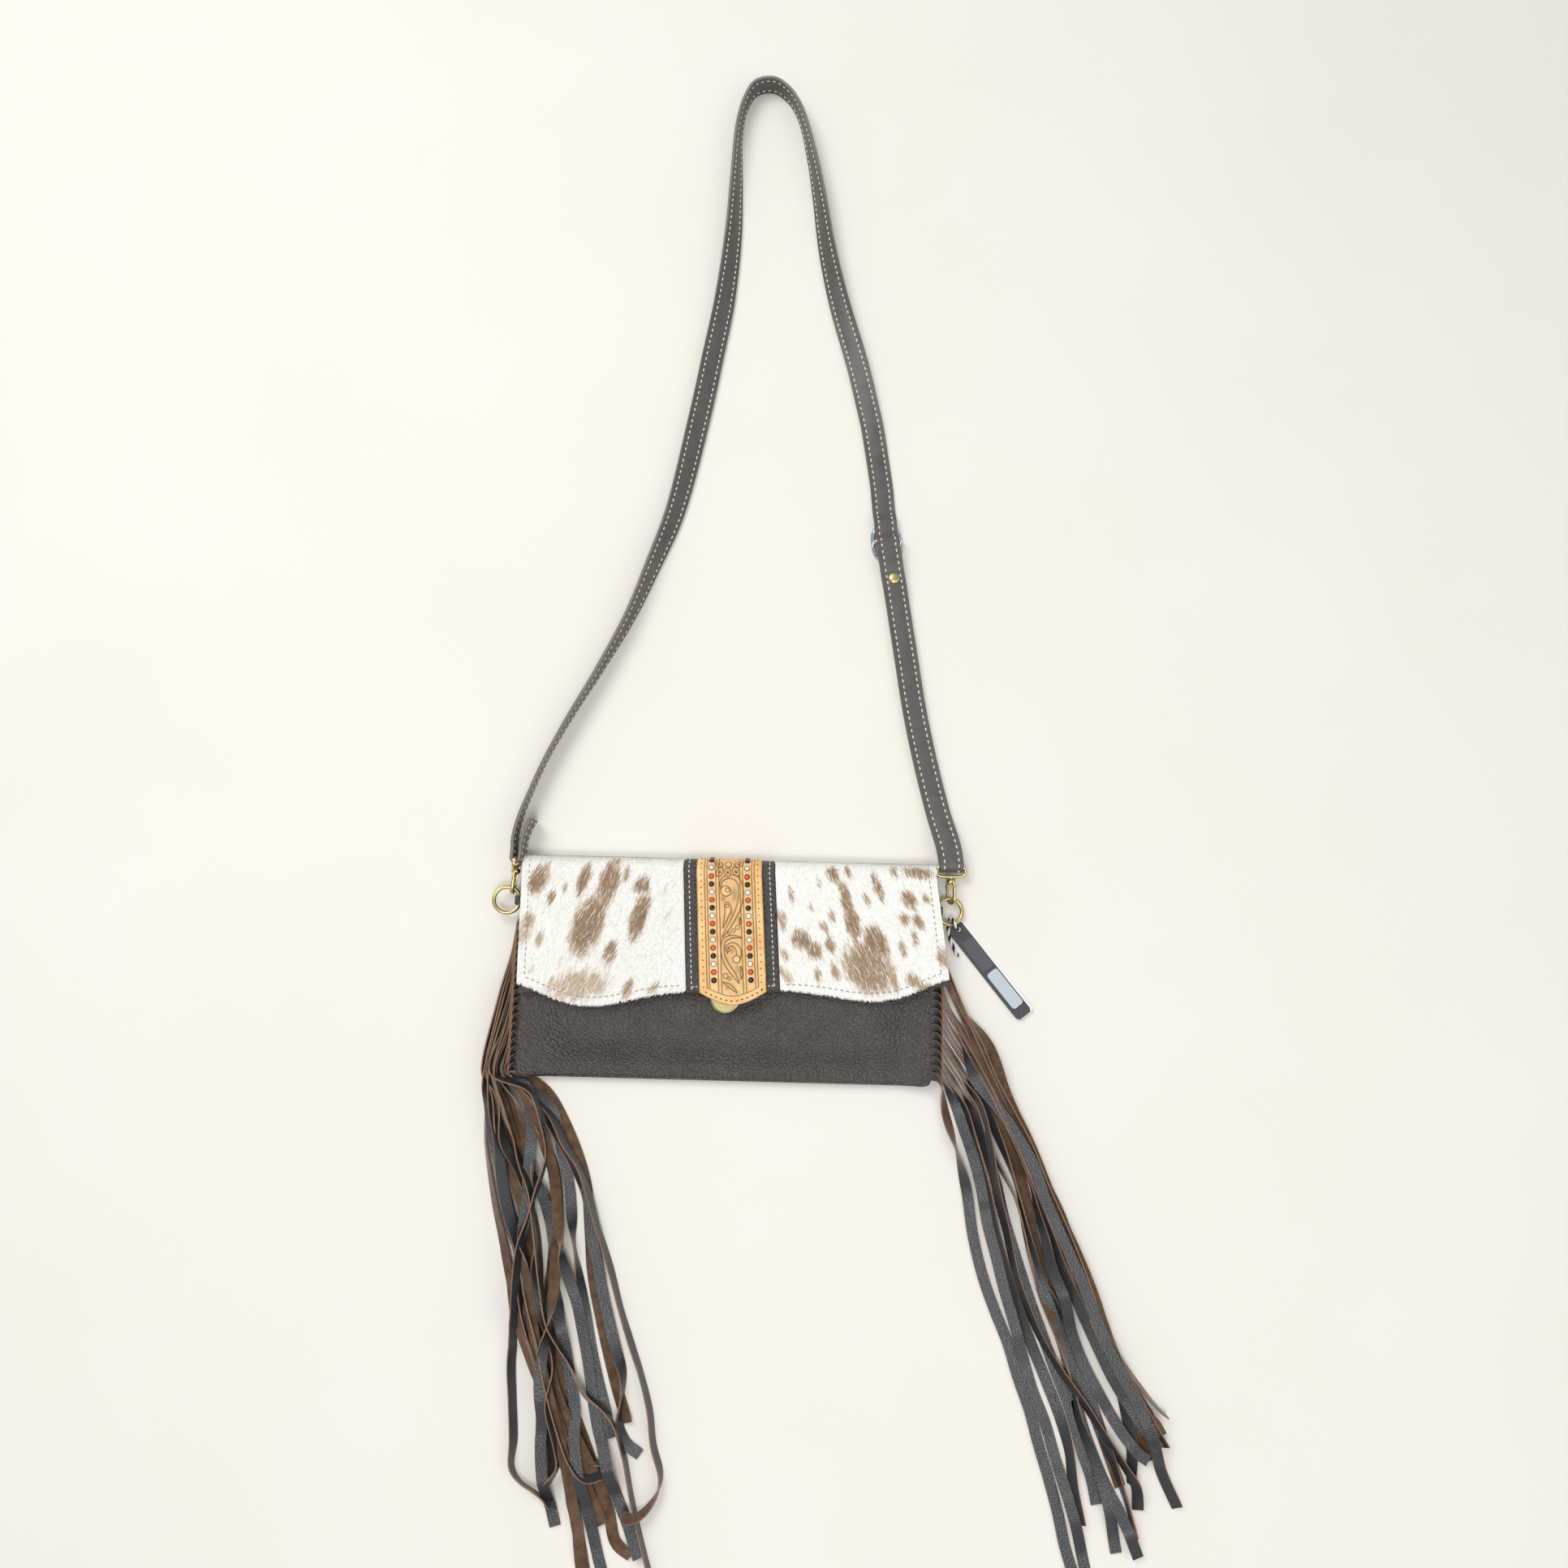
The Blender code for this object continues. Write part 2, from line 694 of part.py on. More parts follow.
def ring_point(side, angle):
    """A point of the ring's wire; angle 0 is towards +Y and grows away from the bag."""
    outward = Vector((side * math.cos(ring_tilt[side]), 0.0, -math.sin(ring_tilt[side])))
    return ring_centre(side) + ring_mean_radius * (
        outward * math.sin(angle) + Vector((0.0, math.cos(angle), 0.0)))


def make_ring(side, name, brass):
    steps = 22
    points = [ring_point(side, 2 * math.pi * step / steps) for step in range(steps)]
    bm = wire_mesh(points, ring_wire, brass, cyclic=True)
    add_part(name, bm, brass, tab_wire_centre(side))


def make_tab(side, name, dark):
    """A folded leather loop round the ring, glued flat where the seam holds it."""
    bore = ring_wire + 1.1 * MM
    outer = bore + tab_thickness
    centre = tab_wire_centre(side)
    tail_top = (seam_slot - 0.7 * MM) / 2
    start = math.asin(tail_top / outer)
    steps = 14
    half = tab_width / 2
    section = []
    for step in range(steps + 1):
        angle = math.pi - start - (2 * math.pi - 2 * start) * step / steps
        section.append((outer * math.cos(angle), outer * math.sin(angle)))
    tail = side * centre.x - body_half_width + tab_tail
    section.append((-tail, -tail_top))
    section.append((-tail, tail_top))
    bm = bmesh.new()
    face = bm.faces.new([bm.verts.new((centre.x + side * a, centre.y - half, centre.z + b))
                         for a, b in section])
    made = bmesh.ops.extrude_face_region(bm, geom=[face])
    for item in made["geom"]:
        if isinstance(item, bmesh.types.BMVert):
            item.co.y += tab_width
    for vert in bm.verts:
        if side * vert.co.x > side * centre.x - 3.4 * MM:
            vert.co.y = centre.y + (vert.co.y - centre.y) * 0.42
    tab = add_part(name, bm, dark, smooth=False)
    hole = turned([(0.0, -half), (bore, -half), (bore, half), (0.0, half)], 14)
    bmesh.ops.rotate(hole, verts=hole.verts, matrix=Matrix.Rotation(math.pi / 2, 3, "X"))
    bmesh.ops.translate(hole, verts=hole.verts, vec=centre)
    join_shape(tab, add_part(name + "_bore", hole, dark), "DIFFERENCE")


def hook_frame(side):
    """The hook's place and axes: X is across its eye, Y runs to the eye and Z is up."""
    held = ring_point(side, -hook_contact[side])
    flat = Vector((side * (side_reach + hook_eye_reach[side]), hook_eye_y[side],
                   hook_eye_z[side]))
    along = (flat - held).normalized()
    across = along.cross(UP).normalized()
    start = held + along * (hook_throat - clearance - ring_wire)
    return start, Matrix((across, along, across.cross(along))).transposed()


def placed(part, start, turn):
    part.matrix_world = Matrix.Translation(start) @ turn.to_4x4()
    return part


def make_hook(side, word, brass):
    start, level = hook_frame(side)
    turn = level @ Matrix.Rotation(hook_roll[side], 3, "Y")
    reach = hook_throat + hook_wire
    bow = [(0.0, hook_collar_start + 2 * MM, reach), (0.0, 5 * MM, reach)]
    for step in range(9):
        angle = math.pi * step / 8
        bow.append((0.0, -reach * math.sin(angle), reach * math.cos(angle)))
    bow.append((0.0, 1.6 * MM, -reach))
    body_bm = wire_mesh([Vector(point) for point in bow], hook_wire, brass)
    body = placed(add_part("hook_" + word, body_bm, brass), start, turn)
    bore = hook_post + clearance
    wall = 1.6 * MM
    low = hook_collar_start
    high = low + hook_collar_length
    ring = turned([(bore, low), (bore + wall, low), (bore + wall, high), (bore, high),
                   (bore, low)], 12)
    bmesh.ops.rotate(ring, verts=ring.verts, matrix=Matrix.Rotation(-math.pi / 2, 3, "X"))
    collar = placed(add_part("hook_collar_" + word, ring, brass), start, turn)
    join_shape(body, collar, "UNION")
    make_eye(word, start, level, side < 0, brass)
    make_gate(word, start, turn, reach, brass)


def make_eye(word, start, turn, upright, brass):
    """The swivel eye: a post headed inside the collar, and a loop for the strap."""
    half = strap_width / 2 + 0.4 * MM + hook_eye_wire
    top = hook_eye_length
    neck = hook_collar_start + hook_collar_length + 1.4 * MM
    loop = [(half, top - 1.2 * MM), (half - 1.2 * MM, top), (1.2 * MM - half, top),
            (-half, top - 1.2 * MM), (-half, neck + 2.4 * MM), (0.8 * MM - half, neck + 0.9 * MM),
            (-2.5 * MM, neck), (2.5 * MM, neck), (half - 0.8 * MM, neck + 0.9 * MM),
            (half, neck + 2.4 * MM)]
    points = [Vector((0.0, y, x)) if upright else Vector((x, y, 0.0)) for x, y in loop]
    bm = wire_mesh(points, hook_eye_wire, brass, cyclic=True)
    eye = placed(add_part("hook_eye_" + word, bm, brass), start, turn)
    head = hook_collar_start - clearance
    post = turned([(0.0, neck + 0.5 * MM), (hook_post, neck + 0.5 * MM), (hook_post, head),
                   (2.1 * MM, head), (2.1 * MM, head - 0.8 * MM), (0.0, head - 0.8 * MM)], 10)
    bmesh.ops.rotate(post, verts=post.verts, matrix=Matrix.Rotation(-math.pi / 2, 3, "X"))
    shank = placed(add_part("hook_post_" + word, post, brass), start, turn)
    join_shape(eye, shank, "UNION")


def make_gate(word, start, turn, reach, brass):
    """The sprung lever that closes the hook's mouth, with its thumb tab."""
    pivot = Vector((0.0, hook_collar_start - 1.1 * MM, -reach))
    half = 0.9 * MM
    thick = 0.6 * MM
    outline = [(0.7 * MM, -thick), (0.7 * MM, thick), (-5.6 * MM, thick), (-5.6 * MM, -thick),
               (-3.2 * MM, -thick), (-2.2 * MM, -1.7 * MM), (-1.4 * MM, -1.7 * MM),
               (-1.2 * MM, -thick)]
    bm = bmesh.new()
    face = bm.faces.new([bm.verts.new((-half, y, z)) for y, z in outline])
    made = bmesh.ops.extrude_face_region(bm, geom=[face])
    for item in made["geom"]:
        if isinstance(item, bmesh.types.BMVert):
            item.co.x = half
    gate = add_part("hook_gate_" + word, bm, brass, smooth=False)
    placed(gate, start + turn @ pivot, turn)


# Strap

def loop_radius():
    return hook_eye_wire + clearance + strap_thickness / 2


def leg_spread(y):
    """How far out the legs move at a height when the rings stand wider than they were drawn."""
    return (side_reach - strap_drawn_at) * ease(y, strap_spread_end, 100 * MM)


def right_leg(y):
    """The right leg's plan line, as x at a given y."""
    keys = [(62, 140.5), (73, 140.1), (82, 138.4), (103, 132.2), (135, 124.0), (170, 116.5), (210, 110.0),
            (250, 103.5), (284, 97.2), (327, 93.0), (368, 86.0)]
    y_mm = y / MM
    for (low_y, low_x), (high_y, high_x) in zip(keys, keys[1:]):
        if y_mm <= high_y:
            share = (y_mm - low_y) / (high_y - low_y)
            return (low_x + (high_x - low_x) * share) * MM + leg_spread(y)
    return keys[-1][1] * MM


def leg_point(y, z):
    reach = 6 * MM
    x = (right_leg(y - reach) + 2 * right_leg(y) + right_leg(y + reach)) / 4
    return Vector((x, y, z))


def back_layer_z(y):
    over_slider = ease(abs(y - slider_centre_y), 22.5 * MM, 13.5 * MM)
    lift = slider_thickness + 0.3 * MM + clearance
    at_eye = hook_eye_point(1).z - loop_radius() - strap_thickness / 2
    return strap_thickness / 2 + lift * over_slider + at_eye * ease(y, 104 * MM, 74 * MM)


def front_layer_z(y):
    tail = strap_tail_thickness + clearance
    step = strap_thickness + clearance
    at_eye = 2 * loop_radius() - step
    z = back_layer_z(y) + step + at_eye * ease(y, 104 * MM, 74 * MM)
    return z + tail * ease(y, strap_tail_end_y - 10 * MM, strap_tail_end_y - 1 * MM)


def slider_bar_z():
    return (slider_thickness + 0.3 * MM + 2 * clearance + strap_thickness
            + strap_tail_thickness + clearance + slider_bar)


def strap_route():
    """The whole strap as (point, across, thickness) stations, from one end to the other."""
    stations = []
    radius = loop_radius()
    eye = hook_eye_point(-1)
    across, along, bar = hook_frame(-1)[1].transposed()
    tail_side = [(-124.8, 88.5, 0.0), (-128.0, 83.5, 0.2), (-130.9, 76.5, 0.7)]
    full = strap_thickness
    for x, y, share in tail_side:
        x = x * MM - leg_spread(y * MM)
        stations.append((Vector((x, y * MM, eye.z)), UP.lerp(bar, share), full))
    stations.append((eye + across * radius + along * 4 * MM, bar, full))
    for step in range(7):
        angle = -math.pi * step / 6
        around = (across * math.cos(angle) + along * math.sin(angle)) * radius
        stations.append((eye + around, bar, full))
    stations.append((eye - across * radius + along * 4 * MM, bar, full))
    # x, y in mm, height of the lower edge above the floor in mm, roll in degrees
    keys = [(-136.6, 80, 2.2, 92), (-134.6, 93, 0.5, 95), (-130, 107, 0, 97), (-122, 128, 0, 98),
            (-109, 155, 0, 96), (-90, 190, 0, 90), (-71, 228, 0, 78), (-57, 265, 0, 62),
            (-45, 300, 0, 45), (-31, 370, 0, 25), (-23, 418, 0, 25), (-17, 455, 0, 32),
            (-12.5, 505, 0, 48), (-11.5, 550, 0, 66), (-11, 582, 0, 80), (-7.5, 604, 0, 88),
            (0, 618, 0, 90), (9.5, 621.5, 0, 90), (20, 617, 0, 90), (31, 601, 0, 86),
            (40, 569, 0, 76), (46, 538, 0, 64), (53, 495, 0, 48), (62, 456, 0, 34),
            (76, 409, 0, 18), (86, 368, 0, 6)]
    sampled = smooth_curve([Vector(key) for key in keys], 2)
    for number, (x, y, lift, roll) in enumerate(sampled):
        before = sampled[max(number - 1, 0)]
        after = sampled[min(number + 1, len(sampled) - 1)]
        along = Vector((after[0] - before[0], after[1] - before[1], 0.0)).normalized()
        roll = math.radians(roll)
        across = UP.cross(along) * math.cos(roll) + UP * math.sin(roll)
        height = (strap_width * abs(math.sin(roll)) + full * abs(math.cos(roll))) / 2
        x = x * MM + leg_spread(y * MM) * (1 if x > 0 else -1)
        stations.append((Vector((x, y * MM, lift * MM + height)), across, full))
    for y in (340, 320, 307, 304, 301, 298, 284, 271, 268, 265, 262, 250, 205, 170,
              135, 104, 96, 88, 80, 74):
        stations.append((leg_point(y * MM, back_layer_z(y * MM)), leg_across(y * MM), full))
    eye = hook_eye_point(1)
    bar, along, above = hook_frame(1)[1].transposed()
    stations.append((eye - above * radius + along * 3 * MM, bar, full))
    for step in range(7):
        angle = -math.pi / 2 - math.pi * step / 6
        around = (along * math.cos(angle) + above * math.sin(angle)) * radius
        stations.append((eye + around, bar, full))
    stations.append((eye + above * radius + along * 3 * MM, bar, full))
    for y in (74, 80, 88, 96, 104, 135, 170, 205, 243, 246, 249.5, 253, 262, 265, 268, 271, 276):
        stations.append((leg_point(y * MM, front_layer_z(y * MM)), leg_across(y * MM), full))
    bar_z = slider_bar_z()
    for step in range(8):
        angle = math.pi * (0.62 - 1.12 * step / 7)
        share = min(step / 6, 1.0)
        thick = full + (strap_tail_thickness - full) * share
        reach = slider_bar + clearance + thick / 2
        point = (slider_centre_y + reach * math.cos(angle), bar_z + reach * math.sin(angle))
        stations.append((leg_point(*point), leg_across(slider_centre_y), thick))
    for y in (280, 276, 271, 268, 265, 262, strap_tail_end_y / MM):
        z = back_layer_z(y * MM) + (strap_thickness + strap_tail_thickness) / 2 + clearance
        stations.append((leg_point(y * MM, z), leg_across(y * MM), strap_tail_thickness))
    return stations


def leg_across(y):
    """The width direction of the right leg at a given y."""
    along = leg_point(y - 4 * MM, 0.0) - leg_point(y + 4 * MM, 0.0)
    return UP.cross(along.normalized())


def hook_eye_point(side):
    start, turn = hook_frame(side)
    return start + turn @ Vector((0.0, hook_eye_length, 0.0))


def make_strap(dark):
    route = strap_route()
    half = strap_width / 2
    section = [(-half, -0.5), (half, -0.5), (half, 0.5), (-half, 0.5)]
    points = [point for point, across, thick in route]
    acrosses = [across for point, across, thick in route]
    sizes = [(1.0, thick) for point, across, thick in route]
    bm = sweep(section, frames(points, acrosses, sizes))
    strap = add_part("strap", bm, dark, smooth=False)
    y = rivet_y
    low = back_layer_z(y) + strap_thickness / 2
    hole = turned([(0.0, 0.15 * MM), (rivet_shank_radius + clearance, 0.15 * MM),
                   (rivet_shank_radius + clearance, 8 * MM), (0.0, 8 * MM)], 12)
    bmesh.ops.translate(hole, verts=hole.verts, vec=leg_point(y, low))
    join_shape(strap, add_part("rivet_hole", hole, dark), "DIFFERENCE")


def make_rivet(brass):
    y = rivet_y
    top = front_layer_z(y) + strap_thickness / 2 + clearance
    depth = strap_thickness + strap_tail_thickness + clearance
    cap = 1.3 * MM
    bm = turned([(0.0, cap), (rivet_cap_radius * 0.6, cap * 0.85), (rivet_cap_radius, 0.3 * MM),
                 (rivet_cap_radius, 0.0), (rivet_shank_radius, 0.0),
                 (rivet_shank_radius, -depth), (0.0, -depth)], 14)
    bmesh.ops.translate(bm, verts=bm.verts, vec=leg_point(y, top))
    add_part("strap_rivet", bm, brass)


def make_slider(nickel):
    """A flat oval band on the floor with a raised bar across its middle."""
    half = slider_width / 2
    inner = half - slider_band
    low = 0.3 * MM
    high = low + slider_thickness
    bm = turned([(inner, low), (half, low), (half, high), (inner, high), (inner, low)], 24)
    bmesh.ops.scale(bm, verts=bm.verts, vec=(1.0, slider_length / slider_width, 1.0))
    turn = Matrix.Rotation(math.atan2(leg_across(slider_centre_y).y,
                                      leg_across(slider_centre_y).x), 3, "Z")
    start = leg_point(slider_centre_y, 0.0)
    slider = placed(add_part("strap_slider", bm, nickel), start, turn)
    post = half - slider_band / 2
    bar_z = slider_bar_z()
    path = [Vector((-post, 0.0, 1.2 * MM)), Vector((-post, 0.0, bar_z)),
            Vector((post, 0.0, bar_z)), Vector((post, 0.0, 1.2 * MM))]
    bar = placed(add_part("slider_bar", wire_mesh(path, slider_bar, nickel), nickel),
                 start, turn)
    join_shape(slider, bar, "UNION")


# Hang tag

def tag_pivot():
    return ring_point(1, math.radians(172))


def tag_frame():
    return Matrix.Rotation(tag_angle, 3, "Z")


def make_tag(card, paper, cord):
    turn = tag_frame()
    hole_spot = tag_pivot() + Vector((5.2 * MM, -3.4 * MM, 0.0))
    hole_spot.z = 0.0
    margin = 4.5 * MM
    low = 0.1 * MM
    bm = bmesh.new()
    bmesh.ops.create_cube(bm, size=1.0)
    bmesh.ops.scale(bm, verts=bm.verts, vec=(tag_length, tag_width, tag_thickness))
    bmesh.ops.translate(bm, verts=bm.verts,
                        vec=(tag_length / 2 - margin, 0.0, low + tag_thickness / 2))
    uprights = [edge for edge in bm.edges
                if abs(edge.verts[0].co.z - edge.verts[1].co.z) > tag_thickness / 2]
    bmesh.ops.bevel(bm, geom=uprights, offset=2.0 * MM, segments=2, affect="EDGES",
                    profile=0.5, material=-1)
    bmesh.ops.rotate(bm, verts=bm.verts, matrix=turn)
    bmesh.ops.translate(bm, verts=bm.verts, vec=hole_spot)
    tag = add_part("hang_tag", bm, card, tag_pivot(), smooth=False)
    hole = turned([(0.0, -1 * MM), (tag_hole_radius, -1 * MM), (tag_hole_radius, 3 * MM),
                   (0.0, 3 * MM)], 10)
    bmesh.ops.translate(hole, verts=hole.verts, vec=hole_spot)
    join_shape(tag, add_part("tag_hole", hole, card), "DIFFERENCE")
    label = bmesh.new()
    bmesh.ops.create_cube(label, size=1.0)
    bmesh.ops.scale(label, verts=label.verts, vec=(sticker_length, sticker_width,
                                                   sticker_thickness))
    rest = low + tag_thickness + clearance + sticker_thickness / 2
    bmesh.ops.translate(label, verts=label.verts, vec=(46 * MM, 0.0, rest))
    bmesh.ops.rotate(label, verts=label.verts, matrix=turn)
    bmesh.ops.translate(label, verts=label.verts, vec=hole_spot)
    add_part("tag_sticker", label, paper, tag_pivot(), smooth=False)
    make_string(hole_spot, cord)


def make_string(hole_spot, cord):
    """The tag's cord: up through the card, loosely round the ring, and down to its tail."""
    pivot = tag_pivot()
    reach = ring_wire + 1.2 * MM + string_radius
    floor = -pivot.z + string_radius + 0.2 * MM
    keys = [
        hole_spot + Vector((0.0, 0.0, 0.6 * MM)),
        hole_spot + Vector((-0.4 * MM, 0.4 * MM, 3.6 * MM)),
        pivot + Vector((2.6 * MM, -1.4 * MM, reach * 0.8)),
        pivot + Vector((0.8 * MM, 1.2 * MM, reach)),
        pivot + Vector((-0.4 * MM, reach, 0.0)),
        pivot + Vector((-1.4 * MM, 0.6 * MM, 0.6 * MM - reach)),
        pivot + Vector((-1.6 * MM, -5 * MM, floor + 1.0 * MM)),
        pivot + Vector((-0.4 * MM, -11 * MM, floor)),
        pivot + Vector((2 * MM, -17 * MM, floor)),
        pivot + Vector((5 * MM, -25 * MM, floor)),
    ]
    points = smooth_curve(keys, 3)
    string = wire("tag_string", [point - pivot for point in points], string_radius, cord)
    string.location = pivot


def main():
    clear_scene()
    dark = plain_material("pebbled_leather", (0.070, 0.060, 0.054), 0.55)
    suede = plain_material("suede", (0.115, 0.072, 0.048), 0.95)
    cloth = plain_material("lining_cloth", (0.060, 0.050, 0.042), 0.9)
    hide = plain_material("hair_on_hide", (0.75, 0.72, 0.66), 0.9)
    tan = plain_material("tooled_leather", (0.72, 0.45, 0.19), 0.5)
    brass = plain_material("light_brass", (0.80, 0.62, 0.32), 0.25, 1.0)
    nickel = plain_material("nickel", (0.62, 0.66, 0.68), 0.2, 1.0)
    card = plain_material("tag_card", (0.05, 0.05, 0.055), 0.6)
    paper = plain_material("sticker_paper", (0.55, 0.62, 0.66), 0.6)
    cord = plain_material("twisted_cord", (0.5, 0.5, 0.5), 0.8)
    make_panels(dark)
    make_lining(cloth)
    make_flap(dark, hide)
    make_fold(dark)
    make_strip(tan)
    make_snap(brass)
    for side, word in ((-1, "left"), (1, "right")):
        make_fringe(side, "fringe_" + word, suede)
        make_tab(side, "ring_tab_" + word, dark)
        make_ring(side, "ring_" + word, brass)
        make_hook(side, word, brass)
    make_strap(dark)
    make_slider(nickel)
    make_rivet(brass)
    make_tag(card, paper, cord)


main()
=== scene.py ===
import math
import random

import bmesh
import bpy
import numpy as np
from mathutils import Matrix, Vector, noise


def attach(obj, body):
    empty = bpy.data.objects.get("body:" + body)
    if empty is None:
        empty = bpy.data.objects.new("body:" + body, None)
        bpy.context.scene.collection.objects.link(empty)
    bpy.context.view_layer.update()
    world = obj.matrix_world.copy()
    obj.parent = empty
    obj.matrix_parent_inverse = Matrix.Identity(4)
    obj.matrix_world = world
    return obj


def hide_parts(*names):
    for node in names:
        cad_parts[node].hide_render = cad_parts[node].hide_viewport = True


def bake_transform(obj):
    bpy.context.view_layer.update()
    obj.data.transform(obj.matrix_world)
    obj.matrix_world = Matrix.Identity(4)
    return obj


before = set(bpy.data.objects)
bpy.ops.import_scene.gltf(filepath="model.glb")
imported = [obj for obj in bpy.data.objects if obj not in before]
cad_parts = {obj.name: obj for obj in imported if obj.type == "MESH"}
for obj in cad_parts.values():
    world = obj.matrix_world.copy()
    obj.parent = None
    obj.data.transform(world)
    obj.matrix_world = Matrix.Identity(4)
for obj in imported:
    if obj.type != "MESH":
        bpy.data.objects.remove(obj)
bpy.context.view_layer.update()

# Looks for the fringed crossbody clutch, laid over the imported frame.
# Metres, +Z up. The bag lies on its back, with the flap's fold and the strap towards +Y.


# Camera, floor and light
# The bag lies on a pale studio floor under a large soft lamp and two weaker fills.
# The camera looks down from about three quarters of a metre, tipped a little up the strap.

MM = 0.001
UP = Vector((0.0, 0.0, 1.0))

floor_reach = 4.0
floor_drop = 0.3 * MM
floor_colour = "e6e2da"
camera_place = (0.036, -0.002, 0.752)
camera_tip = math.radians(9.2)
camera_roll = math.radians(1.5)
camera_lens = 27.0
# Name, place, size in metres and power in watts
lamps = [
    ("key_lamp", (-0.75, 0.95, 1.55), 1.1, 17.0),
    ("fill_lamp", (1.25, -0.5, 1.35), 1.2, 4.0),
    ("low_lamp", (0.1, -0.62, 1.6), 0.6, 9.0),
]
lamps_aim = Vector((0.05, 0.1, 0.0))


def linear(code):
    """The linear RGBA colour of an sRGB hex code."""
    parts = [int(code[place:place + 2], 16) / 255 for place in (0, 2, 4)]
    return (*[part / 12.92 if part < 0.04045 else ((part + 0.055) / 1.055) ** 2.4
              for part in parts], 1.0)


def add_node(tree, kind, settings=None, values=None, links=None):
    """Add a shader node with its settings, socket values and (node, output) links."""
    node = tree.nodes.new("ShaderNode" + kind)
    for name, value in (settings or {}).items():
        setattr(node, name, value)
    for socket, value in (values or {}).items():
        node.inputs[socket].default_value = value
    for socket, (source, output) in (links or {}).items():
        tree.links.new(source.outputs[output], node.inputs[socket])
    return node


def start_material(name):
    """A material with an empty tree, and that tree."""
    material = bpy.data.materials.new(name)
    material.use_nodes = True
    material.node_tree.nodes.clear()
    return material, material.node_tree


def end_material(tree, values, links):
    """Give a tree its Principled shader and its output."""
    shader = add_node(tree, "BsdfPrincipled", None, values, links)
    add_node(tree, "OutputMaterial", None, None, {"Surface": (shader, 0)})


def add_piece(name, bm, materials, body=None, sharp=40):
    """Turn a bmesh into a shown piece at the origin, riding on a body."""
    mesh = bpy.data.meshes.new(name)
    bm.to_mesh(mesh)
    bm.free()
    mesh.shade_smooth()
    mesh.set_sharp_from_angle(angle=math.radians(sharp))
    for material in materials:
        mesh.materials.append(material)
    piece = bpy.data.objects.new(name, mesh)
    bpy.context.collection.objects.link(piece)
    if body:
        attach(piece, body)
    return piece


def smooth_step(value):
    value = min(max(value, 0.0), 1.0)
    return value * value * (3.0 - 2.0 * value)


def ease(value, start, end):
    """0 before start and 1 past end, with a smooth ramp between; start may be the larger."""
    return smooth_step((value - start) / (end - start))


# Painted floor board: matt and even, so its only detail is a very faint mottle.
floor_paint, tree = start_material("matt_painted_floor")
place = add_node(tree, "TexCoord")
mottle = add_node(tree, "TexNoise", None, {"Scale": 6.0, "Detail": 3.0}, {"Vector": (place, "Object")})
tone = add_node(tree, "Mix", {"data_type": "RGBA"}, {6: linear(floor_colour), 7: linear("ebe8e1")},
                {0: (mottle, 0)})
end_material(tree, {"Roughness": 0.9, "Specular IOR Level": 0.2}, {"Base Color": (tone, 2)})
bm = bmesh.new()
bmesh.ops.create_grid(bm, x_segments=2, y_segments=2, size=floor_reach)
bmesh.ops.translate(bm, verts=bm.verts, vec=(0.0, 0.0, -floor_drop))
add_piece("floor", bm, [floor_paint])

camera = bpy.data.objects.new("camera", bpy.data.cameras.new("camera"))
camera.location = camera_place
camera.rotation_euler = (camera_tip, 0.0, camera_roll)
camera.data.lens = camera_lens
camera.data.sensor_width = 36.0
bpy.context.collection.objects.link(camera)
bpy.context.scene.camera = camera

for name, spot, size, power in lamps:
    lamp = bpy.data.objects.new(name, bpy.data.lights.new(name, "AREA"))
    lamp.data.shape = "DISK"
    lamp.data.size = size
    lamp.data.energy = power
    lamp.location = spot
    lamp.rotation_euler = (lamps_aim - lamp.location).to_track_quat("-Z", "Y").to_euler()
    bpy.context.collection.objects.link(lamp)

world = bpy.data.worlds.new("studio")
bpy.context.scene.world = world
world.use_nodes = True
tree = world.node_tree
tree.nodes.clear()
ray = add_node(tree, "LightPath")
room = add_node(tree, "Mix", {"data_type": "RGBA"},
                {6: (0.52, 0.52, 0.52, 1.0), 7: (0.45, 0.45, 0.45, 1.0)}, {0: (ray, "Is Glossy Ray")})
glow = add_node(tree, "Mix", {"data_type": "RGBA"}, {7: (0.9, 0.89, 0.87, 1.0)},
                {0: (ray, "Is Camera Ray"), 6: (room, 2)})
backdrop = add_node(tree, "Background", None, {"Strength": 1.0}, {"Color": (glow, 2)})
add_node(tree, "OutputWorld", None, None, {"Surface": (backdrop, 0)})
bpy.context.scene.view_settings.view_transform = "Standard"


# Hang tag's cord
# A short limp cord of one white and one black ply, tied round the right ring through the
# tag's hole, with its tail lying on the floor.

tag_pivot = Vector((140.93, 31.98, 4.43)) * MM
tag_hole = Vector((146.13, 28.58, 0.0)) * MM
cord_radius = 1.2 * MM
cord_twist = 7.0 * MM
cord_clearance = 1.2 * MM
ring_wire = 1.3 * MM
floor_gap = 0.2 * MM


